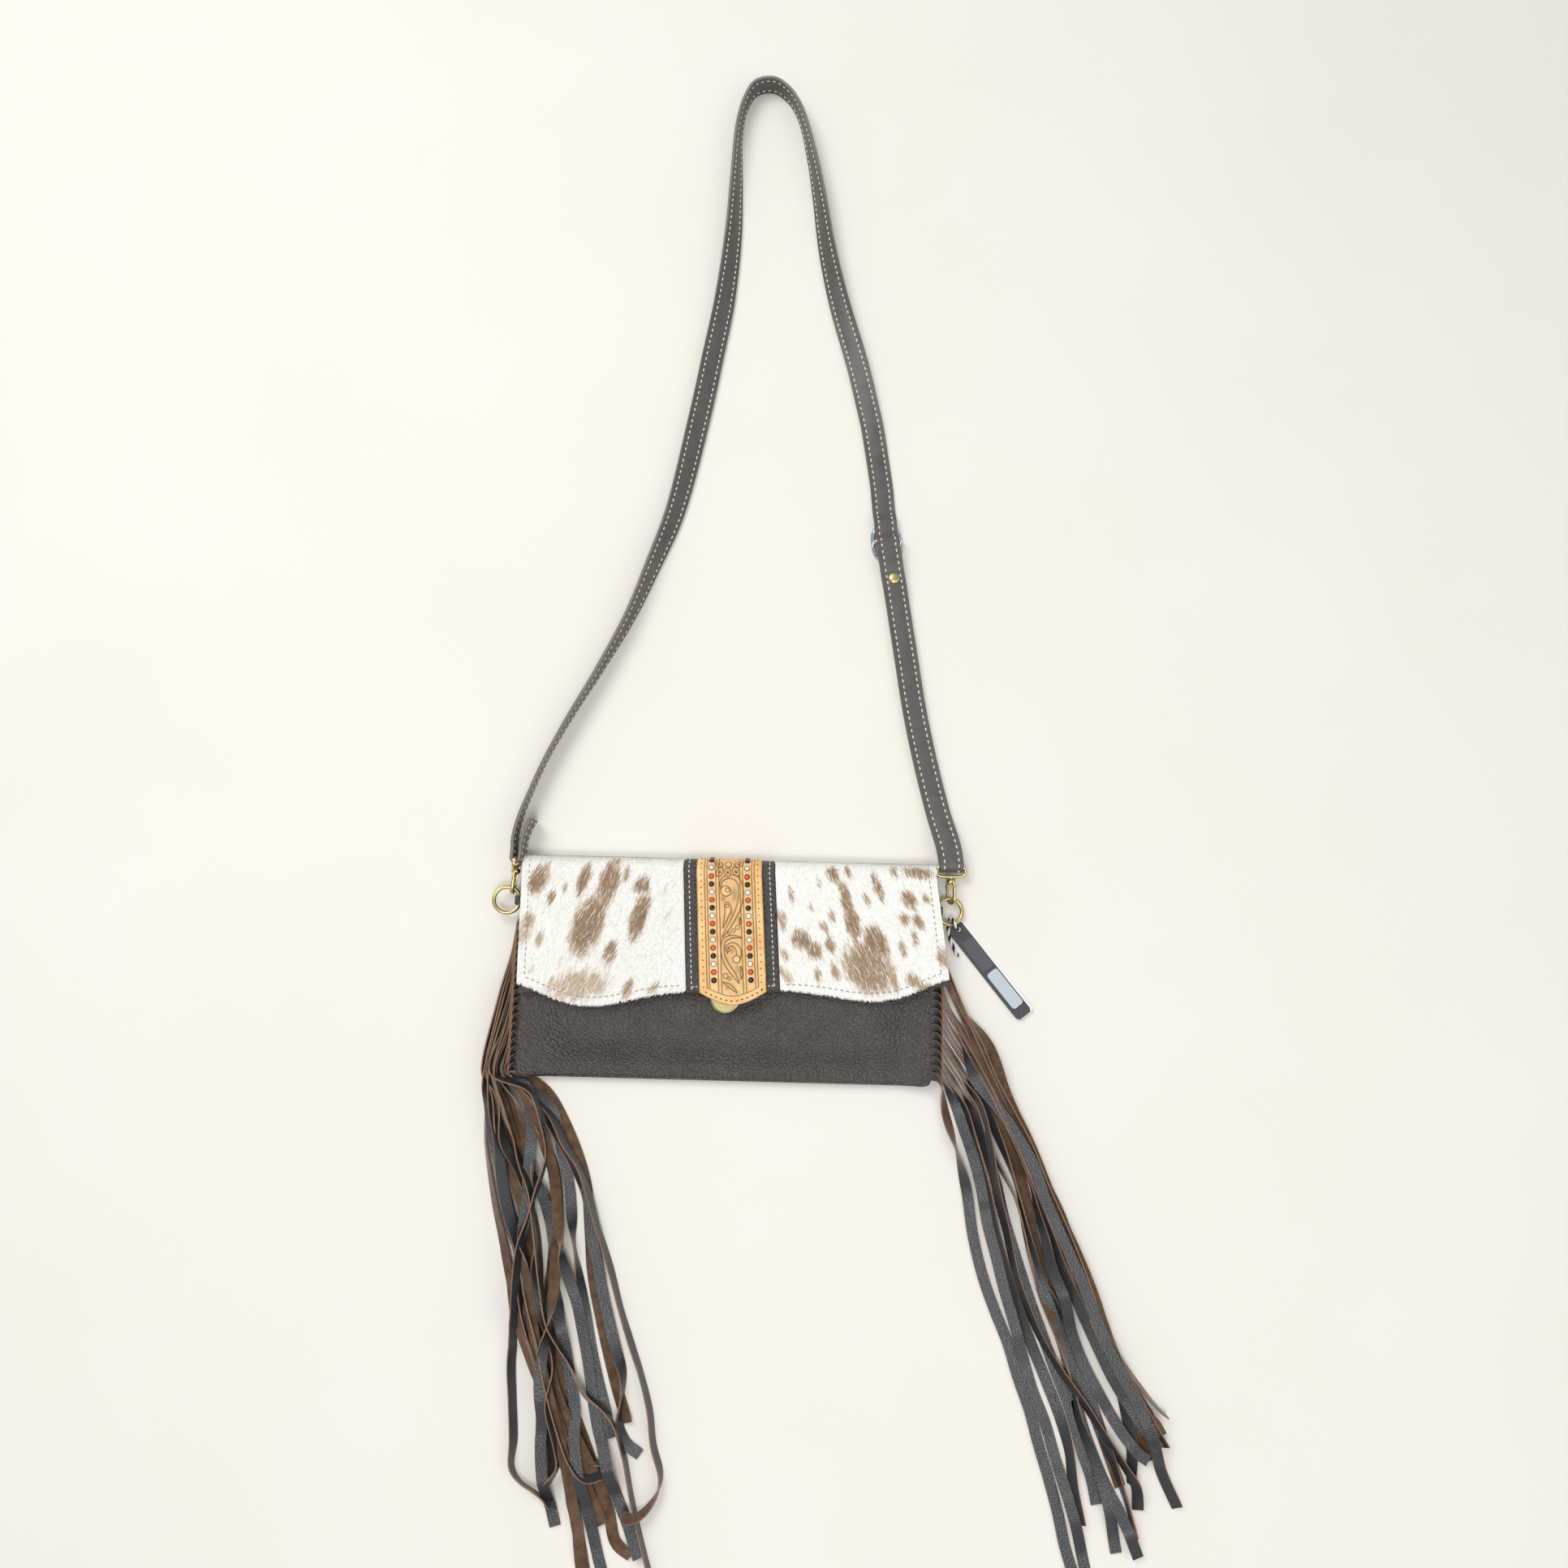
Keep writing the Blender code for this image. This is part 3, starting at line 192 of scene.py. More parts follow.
def resample(points, spacing):
    """Evenly spaced points of a centripetal curve through points, which may hold any values."""
    keys = np.array([list(point) for point in points], float)
    keys = np.vstack([2 * keys[0] - keys[1], keys, 2 * keys[-1] - keys[-2]])
    fine = []
    for p0, p1, p2, p3 in zip(keys, keys[1:], keys[2:], keys[3:]):
        gaps = [max(np.linalg.norm((after - here)[:3]), 1e-6) ** 0.5
                for here, after in ((p0, p1), (p1, p2), (p2, p3))]
        knots = np.concatenate([[0.0], np.cumsum(gaps)])
        count = max(int(np.linalg.norm((p2 - p1)[:3]) / (0.3 * spacing)), 2)
        for t in np.linspace(knots[1], knots[2], count, endpoint=False):
            a1 = (p0 * (knots[1] - t) + p1 * (t - knots[0])) / (knots[1] - knots[0])
            a2 = (p1 * (knots[2] - t) + p2 * (t - knots[1])) / (knots[2] - knots[1])
            a3 = (p2 * (knots[3] - t) + p3 * (t - knots[2])) / (knots[3] - knots[2])
            b1 = (a1 * (knots[2] - t) + a2 * (t - knots[0])) / (knots[2] - knots[0])
            b2 = (a2 * (knots[3] - t) + a3 * (t - knots[1])) / (knots[3] - knots[1])
            fine.append((b1 * (knots[2] - t) + b2 * (t - knots[1])) / (knots[2] - knots[1]))
    fine.append(keys[-2])
    fine = np.array(fine)
    steps = np.linalg.norm(np.diff(fine[:, :3], axis=0), axis=1)
    travelled = np.concatenate([[0.0], np.cumsum(steps)])
    marks = np.linspace(0.0, travelled[-1], max(int(round(travelled[-1] / spacing)), 2) + 1)
    return np.stack([np.interp(marks, travelled, column) for column in fine.T], axis=1)


def grid(columns, rows, place):
    """A sheet bent to place(u, v), with u and v from 0 to 1, which its UV map keeps."""
    bm = bmesh.new()
    bmesh.ops.create_grid(bm, x_segments=columns, y_segments=rows, size=0.5)
    bmesh.ops.translate(bm, verts=bm.verts, vec=(0.5, 0.5, 0.0))
    return bend(bm, lambda u, v, w: place(u, v))


def slab(columns, rows, place):
    """A closed plate bent to place(u, v, w), with w 0 on one face and 1 on the other."""
    bm = bmesh.new()
    bmesh.ops.create_grid(bm, x_segments=columns, y_segments=rows, size=0.5)
    bmesh.ops.translate(bm, verts=bm.verts, vec=(0.5, 0.5, 0.0))
    made = bmesh.ops.extrude_face_region(bm, geom=bm.faces[:])
    upper = [item for item in made["geom"] if isinstance(item, bmesh.types.BMVert)]
    bmesh.ops.translate(bm, verts=upper, vec=UP)
    return bend(bm, place)


def bend(bm, place):
    """Keep each corner's plan place as its UV, then move the corners to where they go."""
    layer = bm.loops.layers.uv.new("UVMap")
    for face in bm.faces:
        for loop in face.loops:
            loop[layer].uv = loop.vert.co.xy
    for vert in bm.verts:
        vert.co = place(*vert.co)
    return bm


def swept(stations, section):
    """A closed bar along (point, across, out) stations; section(v) gives its outline there."""
    around = len(section(0.0))
    rows = len(stations) - 1

    def place(u, v):
        point, across, out = stations[round(v * rows)]
        a, b = section(v)[round(u * around) % around]
        return point + across * a + out * b

    bm = grid(around, rows, place)
    bmesh.ops.remove_doubles(bm, verts=bm.verts, dist=0.001 * MM)
    bmesh.ops.holes_fill(bm, edges=[edge for edge in bm.edges if edge.is_boundary], sides=0)
    bmesh.ops.recalc_face_normals(bm, faces=bm.faces[:])
    return bm


def follow(points, acrosses):
    """Stations squared up to the path's own direction."""
    stations = []
    for number, (point, across) in enumerate(zip(points, acrosses)):
        along = points[min(number + 1, len(points) - 1)] - points[max(number - 1, 0)]
        out = along.cross(across).normalized()
        stations.append((point, out.cross(along).normalized(), out))
    return stations


# Twisted cotton cord: two matt plies side by side, one bleached white and one black.
cord_cotton, tree = start_material("twisted_cotton_cord")
shares = add_node(tree, "UVMap")
split = add_node(tree, "SeparateXYZ", None, None, {0: (shares, 0)})
ply = add_node(tree, "Math", {"operation": "GREATER_THAN"}, {1: 0.5}, {0: (split, "X")})
tone = add_node(tree, "Mix", {"data_type": "RGBA"}, {6: linear("e6e4df"), 7: linear("1c1b1c")},
                {0: (ply, 0)})
fibre = add_node(tree, "TexNoise", None, {"Scale": 4000.0})
fuzz = add_node(tree, "Bump", None, {"Strength": 0.4, "Distance": 0.1 * MM}, {"Height": (fibre, 0)})
end_material(tree, {"Roughness": 0.9}, {"Base Color": (tone, 2), "Normal": (fuzz, 0)})

reach = ring_wire + cord_clearance + cord_radius
low = -tag_pivot.z + cord_radius + floor_gap
cord_keys = [
    tag_hole + Vector((0.0, 0.0, 0.6 * MM)),
    tag_hole + Vector((-0.4 * MM, 0.4 * MM, 3.6 * MM)),
    tag_pivot + Vector((2.6 * MM, -1.4 * MM, reach * 0.8)),
    tag_pivot + Vector((0.8 * MM, 1.2 * MM, reach)),
    tag_pivot + Vector((-0.4 * MM, reach, 0.0)),
    tag_pivot + Vector((-1.4 * MM, 0.6 * MM, 0.6 * MM - reach)),
    tag_pivot + Vector((-1.4 * MM, -5 * MM, low + 1.0 * MM)),
    tag_pivot + Vector((-0.2 * MM, -10 * MM, low)),
    tag_pivot + Vector((1.8 * MM, -14.5 * MM, low)),
    tag_pivot + Vector((4.5 * MM, -20 * MM, low)),
]
cord_path = [Vector(row) for row in resample(cord_keys, 0.5 * MM)]
cord_length = sum((after - here).length for here, after in zip(cord_path, cord_path[1:]))
side_ways = []
for number, point in enumerate(cord_path):
    along = cord_path[min(number + 1, len(cord_path) - 1)] - cord_path[max(number - 1, 0)]
    side_ways.append(along.cross(Vector((0.9, 0.3, 0.31))).normalized())


def cord_section(v):
    """Two lobes that turn along the cord, as its plies do."""
    turn = v * cord_length / cord_twist * 2 * math.pi
    outline = []
    for step in range(12):
        angle = 2 * math.pi * step / 12
        size = cord_radius * (0.62 + 0.38 * abs(math.sin(angle)))
        outline.append((size * math.cos(angle + turn), size * math.sin(angle + turn)))
    return outline


cord = add_piece("twisted_cord", swept(follow(cord_path, side_ways), cord_section),
                 [cord_cotton], "tag", 80)
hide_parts("tag_string")


# Hang tag
# A narrow strip of dark hair-textured card with a white line down one edge, hung by its cord.
# Its sticker is bare pale paper, and a smooth grey patch lies above it.

tag_length = 71 * MM
tag_width = 12.5 * MM
tag_turn = Matrix.Rotation(math.radians(-50.9), 3, "Z")
tag_start = 4.5 * MM
tag_corner = 1.6 * MM
tag_lift = 1.6 * MM
sticker_centre = 46 * MM
sticker_size = (27 * MM, 8 * MM)

# Printed textured card: charcoal with a little sheen, and fine grey strokes about 1 mm long
# that run along the tag.
tag_card, tree = start_material("textured_dark_card")
shares = add_node(tree, "UVMap")
split = add_node(tree, "SeparateXYZ", None, None, {0: (shares, 0)})
lengthen = add_node(tree, "Mapping", None, {"Scale": (60.0, 90.0, 1.0)}, {"Vector": (shares, 0)})
stroke = add_node(tree, "TexNoise", None, {"Scale": 1.0, "Detail": 5.0, "Roughness": 0.7},
                  {"Vector": (lengthen, 0)})
streak = add_node(tree, "MapRange", None, {"From Min": 0.45, "From Max": 0.7}, {0: (stroke, 0)})
tone = add_node(tree, "Mix", {"data_type": "RGBA"}, {6: linear("1d1d20"), 7: linear("77787c")},
                {0: (streak, 0)})
edge = add_node(tree, "Math", {"operation": "GREATER_THAN"}, {1: 0.88}, {0: (split, "Y")})
lined = add_node(tree, "Mix", {"data_type": "RGBA"}, {7: linear("e9e8e4")},
                 {0: (edge, 0), 6: (tone, 2)})
rise = add_node(tree, "Bump", None, {"Strength": 0.3, "Distance": 0.1 * MM}, {"Height": (stroke, 0)})
end_material(tree, {"Roughness": 0.5}, {"Base Color": (lined, 2), "Normal": (rise, 0)})

# Label paper: smooth, cool pale grey and matt.
label_paper, tree = start_material("bare_label_paper")
place = add_node(tree, "TexCoord")
pulp = add_node(tree, "TexNoise", None, {"Scale": 900.0, "Detail": 4.0}, {"Vector": (place, "Object")})
tone = add_node(tree, "Mix", {"data_type": "RGBA"}, {6: linear("b3bcc6"), 7: linear("bfc7cf")},
                {0: (pulp, 0)})
end_material(tree, {"Roughness": 0.6}, {"Base Color": (tone, 2)})

# Coated paper: the same card where its print is smooth, a plain mid grey.
grey_paper, tree = start_material("smooth_grey_print")
place = add_node(tree, "TexCoord")
pulp = add_node(tree, "TexNoise", None, {"Scale": 700.0, "Detail": 4.0}, {"Vector": (place, "Object")})
tone = add_node(tree, "Mix", {"data_type": "RGBA"}, {6: linear("4a4b4f"), 7: linear("56575b")},
                {0: (pulp, 0)})
end_material(tree, {"Roughness": 0.45}, {"Base Color": (tone, 2)})


def tag_plate(along_start, along_end, half_width, low, thickness):
    """A flat rounded plate on the tag, in the tag's own direction, lifted slightly at its tip."""

    def place(u, v, w):
        end = min(u, 1.0 - u) * (along_end - along_start)
        rounded = math.sqrt(max(1.0 - max(1.0 - end / tag_corner, 0.0) ** 2, 0.0))
        x = along_start + (along_end - along_start) * u
        y = (2 * v - 1) * (half_width - tag_corner * (1.0 - rounded))
        lift = tag_lift * ease(x, 30 * MM, tag_length) ** 2
        return tag_hole + tag_turn @ Vector((x, y, low + thickness * w + lift))

    bm = slab(40, 6, place)
    bmesh.ops.recalc_face_normals(bm, faces=bm.faces[:])
    return bm


card = add_piece("hang_tag_card", tag_plate(-tag_start, tag_length - tag_start, tag_width / 2,
                                            0.1 * MM, 0.6 * MM), [tag_card], "tag")
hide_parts("hang_tag")
patch = add_piece("tag_smooth_patch", tag_plate(8 * MM, 30 * MM, 4.2 * MM, 0.68 * MM, 0.08 * MM),
                  [grey_paper], "tag")
sticker = add_piece("bare_sticker", tag_plate(sticker_centre - sticker_size[0] / 2,
                                              sticker_centre + sticker_size[0] / 2,
                                              sticker_size[1] / 2, 0.7 * MM, 0.15 * MM),
                    [label_paper], "tag")
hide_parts("tag_sticker")


# Body
# Two panels of soft pebbled cowhide sewn together inside out, so that the edges are turned
# and rounded. The front one swells over the pocket and has a few slack dents.

body_half = 128 * MM
body_low = -68 * MM
hinge_y = 61 * MM
panel_skin = 1.3 * MM
seam_margin = 5 * MM
seam_height = 4 * MM
seam_slot = 2.1 * MM
front_rise = 14 * MM
mouth_drop = 3.2 * MM
corner_round = 4 * MM
panel_gap = 0.3 * MM
hem_inset = 1.8 * MM
slack_rise = 1.1 * MM
dent_place = (57 * MM, -36 * MM)
dent_half = (15 * MM, 9 * MM)
dent_depth = 1.5 * MM

# Milled cowhide: drum-dyed dark warm grey, with round pebbles about 1.5 mm across that
# catch small highlights, painted shade in the creases between them, and paler where the leather is
# rubbed.
pebbled_leather, tree = start_material("milled_pebbled_leather")
place = add_node(tree, "TexCoord")
warp = add_node(tree, "TexNoise", None, {"Scale": 260.0, "Detail": 2.0}, {"Vector": (place, "Object")})
nudge = add_node(tree, "MixRGB", {"blend_type": "ADD"}, {0: 0.0003}, {1: (place, "Object"), 2: (warp, 1)})
pebble = add_node(tree, "TexVoronoi", {"feature": "SMOOTH_F1"}, {"Scale": 640.0, "Smoothness": 0.2},
                  {"Vector": (nudge, 0)})
dome = add_node(tree, "MapRange", None,
                {"From Min": 0.15, "From Max": 0.75, "To Min": 1.0, "To Max": 0.0}, {0: (pebble, 0)})
crease = add_node(tree, "TexNoise", None, {"Scale": 60.0, "Detail": 6.0, "Roughness": 0.65},
                  {"Vector": (place, "Object")})
rub = add_node(tree, "MapRange", None, {"From Min": 0.35, "From Max": 0.7}, {0: (crease, 0)})
base = add_node(tree, "Mix", {"data_type": "RGBA"}, {6: linear("47423f"), 7: linear("5a5552")},
                {0: (rub, 0)})
# Painted shade: the creases between the pebbles take the darker colour and the domes the lighter one.
tone = add_node(tree, "Mix", {"data_type": "RGBA"}, {6: linear("3b3633")},
                {0: (dome, 0), 7: (base, 2)})
height = add_node(tree, "Math", {"operation": "MULTIPLY_ADD"}, {1: 0.5}, {0: (crease, 0), 2: (dome, 0)})
grain = add_node(tree, "Bump", None, {"Strength": 1.0, "Distance": 0.6 * MM}, {"Height": (height, 0)})
gloss = add_node(tree, "MapRange", None, {"To Min": 0.5, "To Max": 0.26}, {0: (dome, 0)})
end_material(tree, {"Specular IOR Level": 0.5},
             {"Base Color": (tone, 2), "Roughness": (gloss, 0), "Normal": (grain, 0)})


def body_width(y):
    depth = max(body_low + corner_round - y, 0.0)
    return body_half - corner_round + math.sqrt(max(corner_round ** 2 - depth ** 2, 0.0))


def back_face(x, y):
    side = ease(abs(x), body_half - seam_margin - 14 * MM, body_half - seam_margin)
    foot = ease(y, body_low + seam_margin + 12 * MM, body_low + seam_margin) if y < 0 else 0.0
    side *= ease(y, hinge_y, hinge_y - 20 * MM)
    return seam_height * max(side, foot)


def front_face(x, y):
    side = ease(body_half - seam_margin - abs(x), 0.0, 30 * MM)
    foot = ease(y - body_low - seam_margin, 0.0, 24 * MM)
    lift = panel_gap + (seam_slot - panel_gap) * ease(abs(x), body_half - 22 * MM, body_half - 10 * MM)
    edge = seam_height + 2 * panel_skin + lift
    middle = front_rise - mouth_drop * ease(y, hinge_y - 45 * MM, hinge_y)
    return edge + (middle - edge) * side * foot


def slack(x, y):
    """The soft leather's own rise and fall, with the dent that shows near the bottom edge."""
    wave = noise.noise(Vector((x * 26, y * 34, 3.0))) + 0.5 * noise.noise(Vector((x * 70, y * 80, 9.0)))
    dent = math.exp(-((x - dent_place[0]) / dent_half[0]) ** 2
                    - ((y - dent_place[1]) / dent_half[1]) ** 2)
    inside = ease(body_half - abs(x), 2 * MM, 16 * MM) * ease(y - body_low, 1 * MM, 9 * MM)
    soft = slack_rise * (wave - 0.5) - dent_depth * dent
    return soft * inside * ease(y, 16 * MM, -12 * MM)


def towards_edges(u):
    """Even shares drawn towards both ends."""
    return 0.5 + 0.5 * (math.sin((2 * u - 1) * math.pi / 2) * 0.6 + (2 * u - 1) * 0.4)


def front_place(u, v, w):
    span = hinge_y - panel_gap - body_low
    y = body_low + span * towards_edges(v)
    x = body_width(y) * (2 * towards_edges(u) - 1)
    z = front_face(x, y) + slack(x, y)
    foot = min((y - body_low) / (4.5 * MM), 1.0)
    middle = ease(body_half - abs(x), 4 * MM, 12 * MM)
    z -= 3.2 * MM * (1.0 - math.sqrt(1.0 - (1.0 - foot) ** 2)) * middle
    side = min((body_width(y) - abs(x)) / (1.4 * MM), 1.0)
    z -= 0.6 * MM * (1.0 - math.sqrt(1.0 - (1.0 - side) ** 2)) * w
    return Vector((x, y, z - panel_skin * (1.0 - w)))


def back_place(u, v, w):
    low = body_low + hem_inset
    y = low + (hinge_y - panel_gap - low) * towards_edges(v)
    x = body_width(y - hem_inset) * (2 * towards_edges(u) - 1)
    side = min((body_width(y) - abs(x)) / (1.4 * MM), 1.0)
    rounded = 0.6 * MM * (1.0 - math.sqrt(1.0 - (1.0 - max(side, 0.0)) ** 2)) * (1.0 - w)
    return Vector((x, y, back_face(x, y) + rounded + panel_skin * w))


for name, place_panel, node in (("front_leather", front_place, "front_panel"),
                                ("back_leather", back_place, "back_panel")):
    bm = slab(110, 70, place_panel)
    bmesh.ops.recalc_face_normals(bm, faces=bm.faces[:])
    panel = add_piece(name, bm, [pebbled_leather], "bag")
    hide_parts(node)


# Lining
# A plain-woven cotton pouch, sewn in at the mouth and hanging loose inside the panels.

lining_half = 113 * MM
lining_low = -53 * MM
mouth_inset = 1.5 * MM
lining_span = hinge_y - mouth_inset - lining_low

# Plain-woven cotton: dull brown, in a coarse weave about 1 mm from thread to thread.
lining_cotton, tree = start_material("plain_woven_cotton")
place = add_node(tree, "TexCoord")
warp_thread = add_node(tree, "TexWave", {"bands_direction": "X"}, {"Scale": 320.0},
                       {"Vector": (place, "Object")})
weft_thread = add_node(tree, "TexWave", {"bands_direction": "Y"}, {"Scale": 320.0},
                       {"Vector": (place, "Object")})
weave = add_node(tree, "Math", {"operation": "MULTIPLY"}, None,
                 {0: (warp_thread, 1), 1: (weft_thread, 1)})
tone = add_node(tree, "Mix", {"data_type": "RGBA"}, {6: linear("3c342d"), 7: linear("4f453b")},
                {0: (weave, 0)})
rise = add_node(tree, "Bump", None, {"Strength": 0.5, "Distance": 0.1 * MM}, {"Height": (weave, 0)})
end_material(tree, {"Roughness": 0.95}, {"Base Color": (tone, 2), "Normal": (rise, 0)})


def lining_place(u, v, w):
    y = lining_low + lining_span * towards_edges(v)
    x = lining_half * (2 * towards_edges(u) - 1)
    under = back_face(x, y) + panel_skin + 1.4 * MM
    over = front_face(x, y) + slack(x, y) - panel_skin - 1.0 * MM
    middle = (under + over) / 2
    half = max((over - under) / 2, 0.2 * MM) * (1.0 if abs(2 * u - 1) < 0.999 else 0.1)
    sag = 0.3 * MM * noise.noise(Vector((x * 40, y * 40, w * 5)))
    return Vector((x, y, middle + (half + sag) * (2 * w - 1)))


bm = slab(46, 26, lining_place)
mouth = hinge_y - mouth_inset - 0.1 * MM
open_end = [face for face in bm.faces if all(vert.co.y > mouth for vert in face.verts)]
bmesh.ops.delete(bm, geom=open_end, context="FACES")
bmesh.ops.recalc_face_normals(bm, faces=bm.faces[:])
pouch = add_piece("pocket_lining", bm, [lining_cotton], "bag")
wall = pouch.modifiers.new("cloth", "SOLIDIFY")
wall.thickness = 0.4 * MM
wall.offset = -1.0
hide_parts("lining")


# Flap
# One sheet in layers: a leather lining underneath, hair-on hide left and right of a leather
# band on top. All of them run round the fold and are sewn to the back panel's top edge.

flap_half = 129.5 * MM
flap_flare = 3.4 * MM
flap_skew = 4.5 * MM
flap_turn = 0.034
corner_y = -4.4 * MM
fold_radius = 7.5 * MM
bend_reach = 0.95 * fold_radius
fold_y = hinge_y + 0.3 * MM
fold_z = 7.6 * MM
underside = 12.1 * MM
top_layer = 3.0 * MM
band_half = 28.5 * MM
strip_half = 20.5 * MM
strip_tip = -21.5 * MM
strip_rise = 8.0 * MM
lobe_low = -13.4 * MM
lobe_curve = 8.0 * MM
flap_rise = 3.4 * MM
snap_bulge = 2.8 * MM
side_droop = 2.5 * MM


def flap_height(x, y):
    rise = flap_rise * ease(y, hinge_y, hinge_y - 45 * MM)
    over_snap = math.exp(-(x / (38 * MM)) ** 2) * ease(y, 32 * MM, -10 * MM)
    droop = (abs(x) / flap_half) ** 4 * ease(y, hinge_y, hinge_y - 40 * MM)
    return underside + rise + snap_bulge * over_snap - side_droop * droop


def flap_wave(x, y):
    """The slack of the supple hide, nothing at the fold and most near its lower edge."""
    wave = noise.noise(Vector((x * 20, y * 22, 20.0))) + 0.5 * noise.noise(Vector((x * 55, y * 55, 2.0)))
    return 0.5 * MM * (wave + 0.4) * ease(y, 56 * MM, 25 * MM)


def flap_point(a, b, height):
    """A point of the flap, given across and down it; past the fold, b goes on round the bend."""
    over = max(height - top_layer, 0.0)
    height -= over * 0.75 * ease(b, hinge_y - 5 * MM, hinge_y + 5 * MM)
    if b > hinge_y:
        angle = min((b - hinge_y) / bend_reach, math.pi)
        radius = fold_radius - top_layer + height
        return Vector((a, fold_y + radius * math.sin(angle), fold_z + radius * math.cos(angle)))
    drop = (hinge_y - b) / (hinge_y - corner_y)
    x = a + flap_skew * drop
    y = b + a * flap_turn * drop
    return Vector((x, y, flap_height(x, y) + flap_wave(x, y) + height))


fold_top = hinge_y + bend_reach * math.pi


def lobe_edge(a):
    """The lower edge: a lobe on each side of the band, and straight under it."""
    share = min(max((abs(a) - band_half) / (flap_half + flap_flare - band_half), 0.0), 1.0)
    return lobe_low + lobe_curve * (share ** 2.6 - math.sin(math.pi * share ** 1.25) ** 2)


def strip_edge(a):
    """The tooled strip's pointed end, which reaches past the lobes."""
    share = min(abs(a) / strip_half, 1.0)
    return strip_tip + strip_rise * share ** 1.6


def under_edge(a):
    """The under leather's lower edge: inside the lobes, with a tongue under the strip's point."""
    return min(lobe_edge(a) + 1.6 * MM, strip_edge(a) + 1.5 * MM)


def flap_side(a, b):
    """Widen the flap's outer parts towards their flared lower corners."""
    drop = min(max((hinge_y - b) / (hinge_y - corner_y), 0.0), 1.2)
    return a * (1.0 + flap_flare / flap_half * drop * ease(abs(a), 40 * MM, 100 * MM))


def flap_layer(inner, outer, low, high, columns, rows, edge=lobe_edge, round_edge=0.6 * MM, top=None):
    """A closed layer of the flap between two distances from its middle, with softened edges."""
    top = fold_top if top is None else top

    def place(u, v, w):
        a = inner + (outer - inner) * u
        b = edge(a) + (top - edge(a)) * v
        near = min(abs(a - inner), abs(a - outer), (b - edge(a)))
        soft = round_edge * (1.0 - math.sqrt(max(1.0 - max(1.0 - near / (1.5 * MM), 0.0) ** 2, 0.0)))
        return flap_point(flap_side(a, b), b, low + (high - low - soft) * w)

    return slab(columns, rows, place)


bm = flap_layer(-flap_half + 0.6 * MM, flap_half - 0.6 * MM, 0.05 * MM, 1.0 * MM, 120, 60, under_edge)
bmesh.ops.recalc_face_normals(bm, faces=bm.faces[:])
under_leather = add_piece("flap_under_leather", bm, [pebbled_leather])
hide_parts("flap_lining", "flap_fold")
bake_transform(under_leather)

bm = flap_layer(-band_half, band_half, 1.4 * MM, 3.3 * MM, 40, 80, round_edge=0.9 * MM)
bmesh.ops.recalc_face_normals(bm, faces=bm.faces[:])
band = add_piece("flap_band_leather", bm, [pebbled_leather])
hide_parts("flap_band")
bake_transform(band)


# Hair-on hide
# Tanned cowhide with its hair left on, white with brown spots, cut in two lobes and sewn
# down along its edges. The hair lies outwards on the left lobe and inwards on the right.

# Centre, half width, half height and strength of each spot, in mm on the flap
hide_spots = [
    (-117, 57, 6.4, 9.3, 1.0), (-109, 46, 2.5, 4.4, 1.0), (-101, 52, 1.5, 2.9, 0.8),
    (-90, 57, 3.9, 9.8, 1.0), (-86, 30, 10.3, 18.6, 1.0), (-74, 55, 6.9, 14.7, 1.0),
    (-63, 61, 2.0, 4.4, 0.8), (-54, 55, 5.4, 4.9, 1.0), (-55, 35, 4.9, 16.2, 1.0),
    (-123, 32, 4.4, 4.9, 0.8), (-126, 24, 4.9, 5.9, 0.5), (-116, 22, 2.9, 4.4, 0.6),
    (-72, 14, 3.9, 7.8, 0.9), (-92, -5, 19.6, 9.8, 0.5), (-62, -8, 2.9, 5.9, 0.8),
    (-47, -8, 2.5, 3.4, 0.7), (-103, 9, 2.0, 2.9, 0.3), (-119, 4, 2.5, 2.9, 0.3),
    (-38, 36, 1.5, 2.9, 0.3), (-38, 53, 1.5, 2.9, 0.3), (-28, 62, 1.5, 2.9, 0.3),
    (64, 64, 3.9, 4.6, 1.0), (74, 65, 2.0, 3.3, 0.9), (71, 48, 3.9, 13.1, 1.0),
    (91, 56, 2.6, 9.8, 1.0), (102, 66, 2.6, 3.9, 0.9), (118, 66, 11.1, 3.3, 1.0),
    (110, 49, 4.6, 6.5, 1.0), (121, 50, 2.6, 3.3, 0.9), (84, 48, 2.0, 3.9, 0.8),
    (55, 58, 2.0, 2.6, 0.8), (38, 50, 2.0, 3.9, 0.8), (48, 43, 1.3, 2.6, 0.7),
    (62, 37, 2.0, 3.9, 0.8), (74, 32, 5.2, 9.8, 1.0), (56, 30, 3.3, 3.9, 0.8),
    (31, 34, 2.6, 6.5, 0.8), (42, 22, 6.5, 6.5, 1.0), (50, 15, 5.2, 5.9, 0.9),
    (60, 19, 3.3, 5.9, 0.9), (87, 19, 6.5, 13.1, 1.0), (81, 5, 15.0, 18.3, 0.9),
    (105, 36, 3.3, 3.9, 0.9), (114, 34, 3.9, 5.2, 0.9), (110, 23, 2.0, 5.9, 0.8),
    (103, 16, 2.6, 5.9, 0.8), (126, 11, 3.9, 6.5, 0.8), (107, -4, 3.9, 3.9, 0.8),
    (113, -9, 5.2, 3.9, 0.8), (32, 13, 2.6, 3.9, 0.7), (32, -1, 2.6, 3.9, 0.7),
    (51, -1, 2.6, 5.2, 0.8), (61, 2, 2.6, 5.9, 0.8), (96, -5, 2.6, 6.5, 0.8),
]
hair_count = 24000
hair_length = 6.8 * MM
hair_width = 0.38 * MM
hair_lean = {-1: math.radians(-25), 1: math.radians(18)}
dice = random.Random(11)
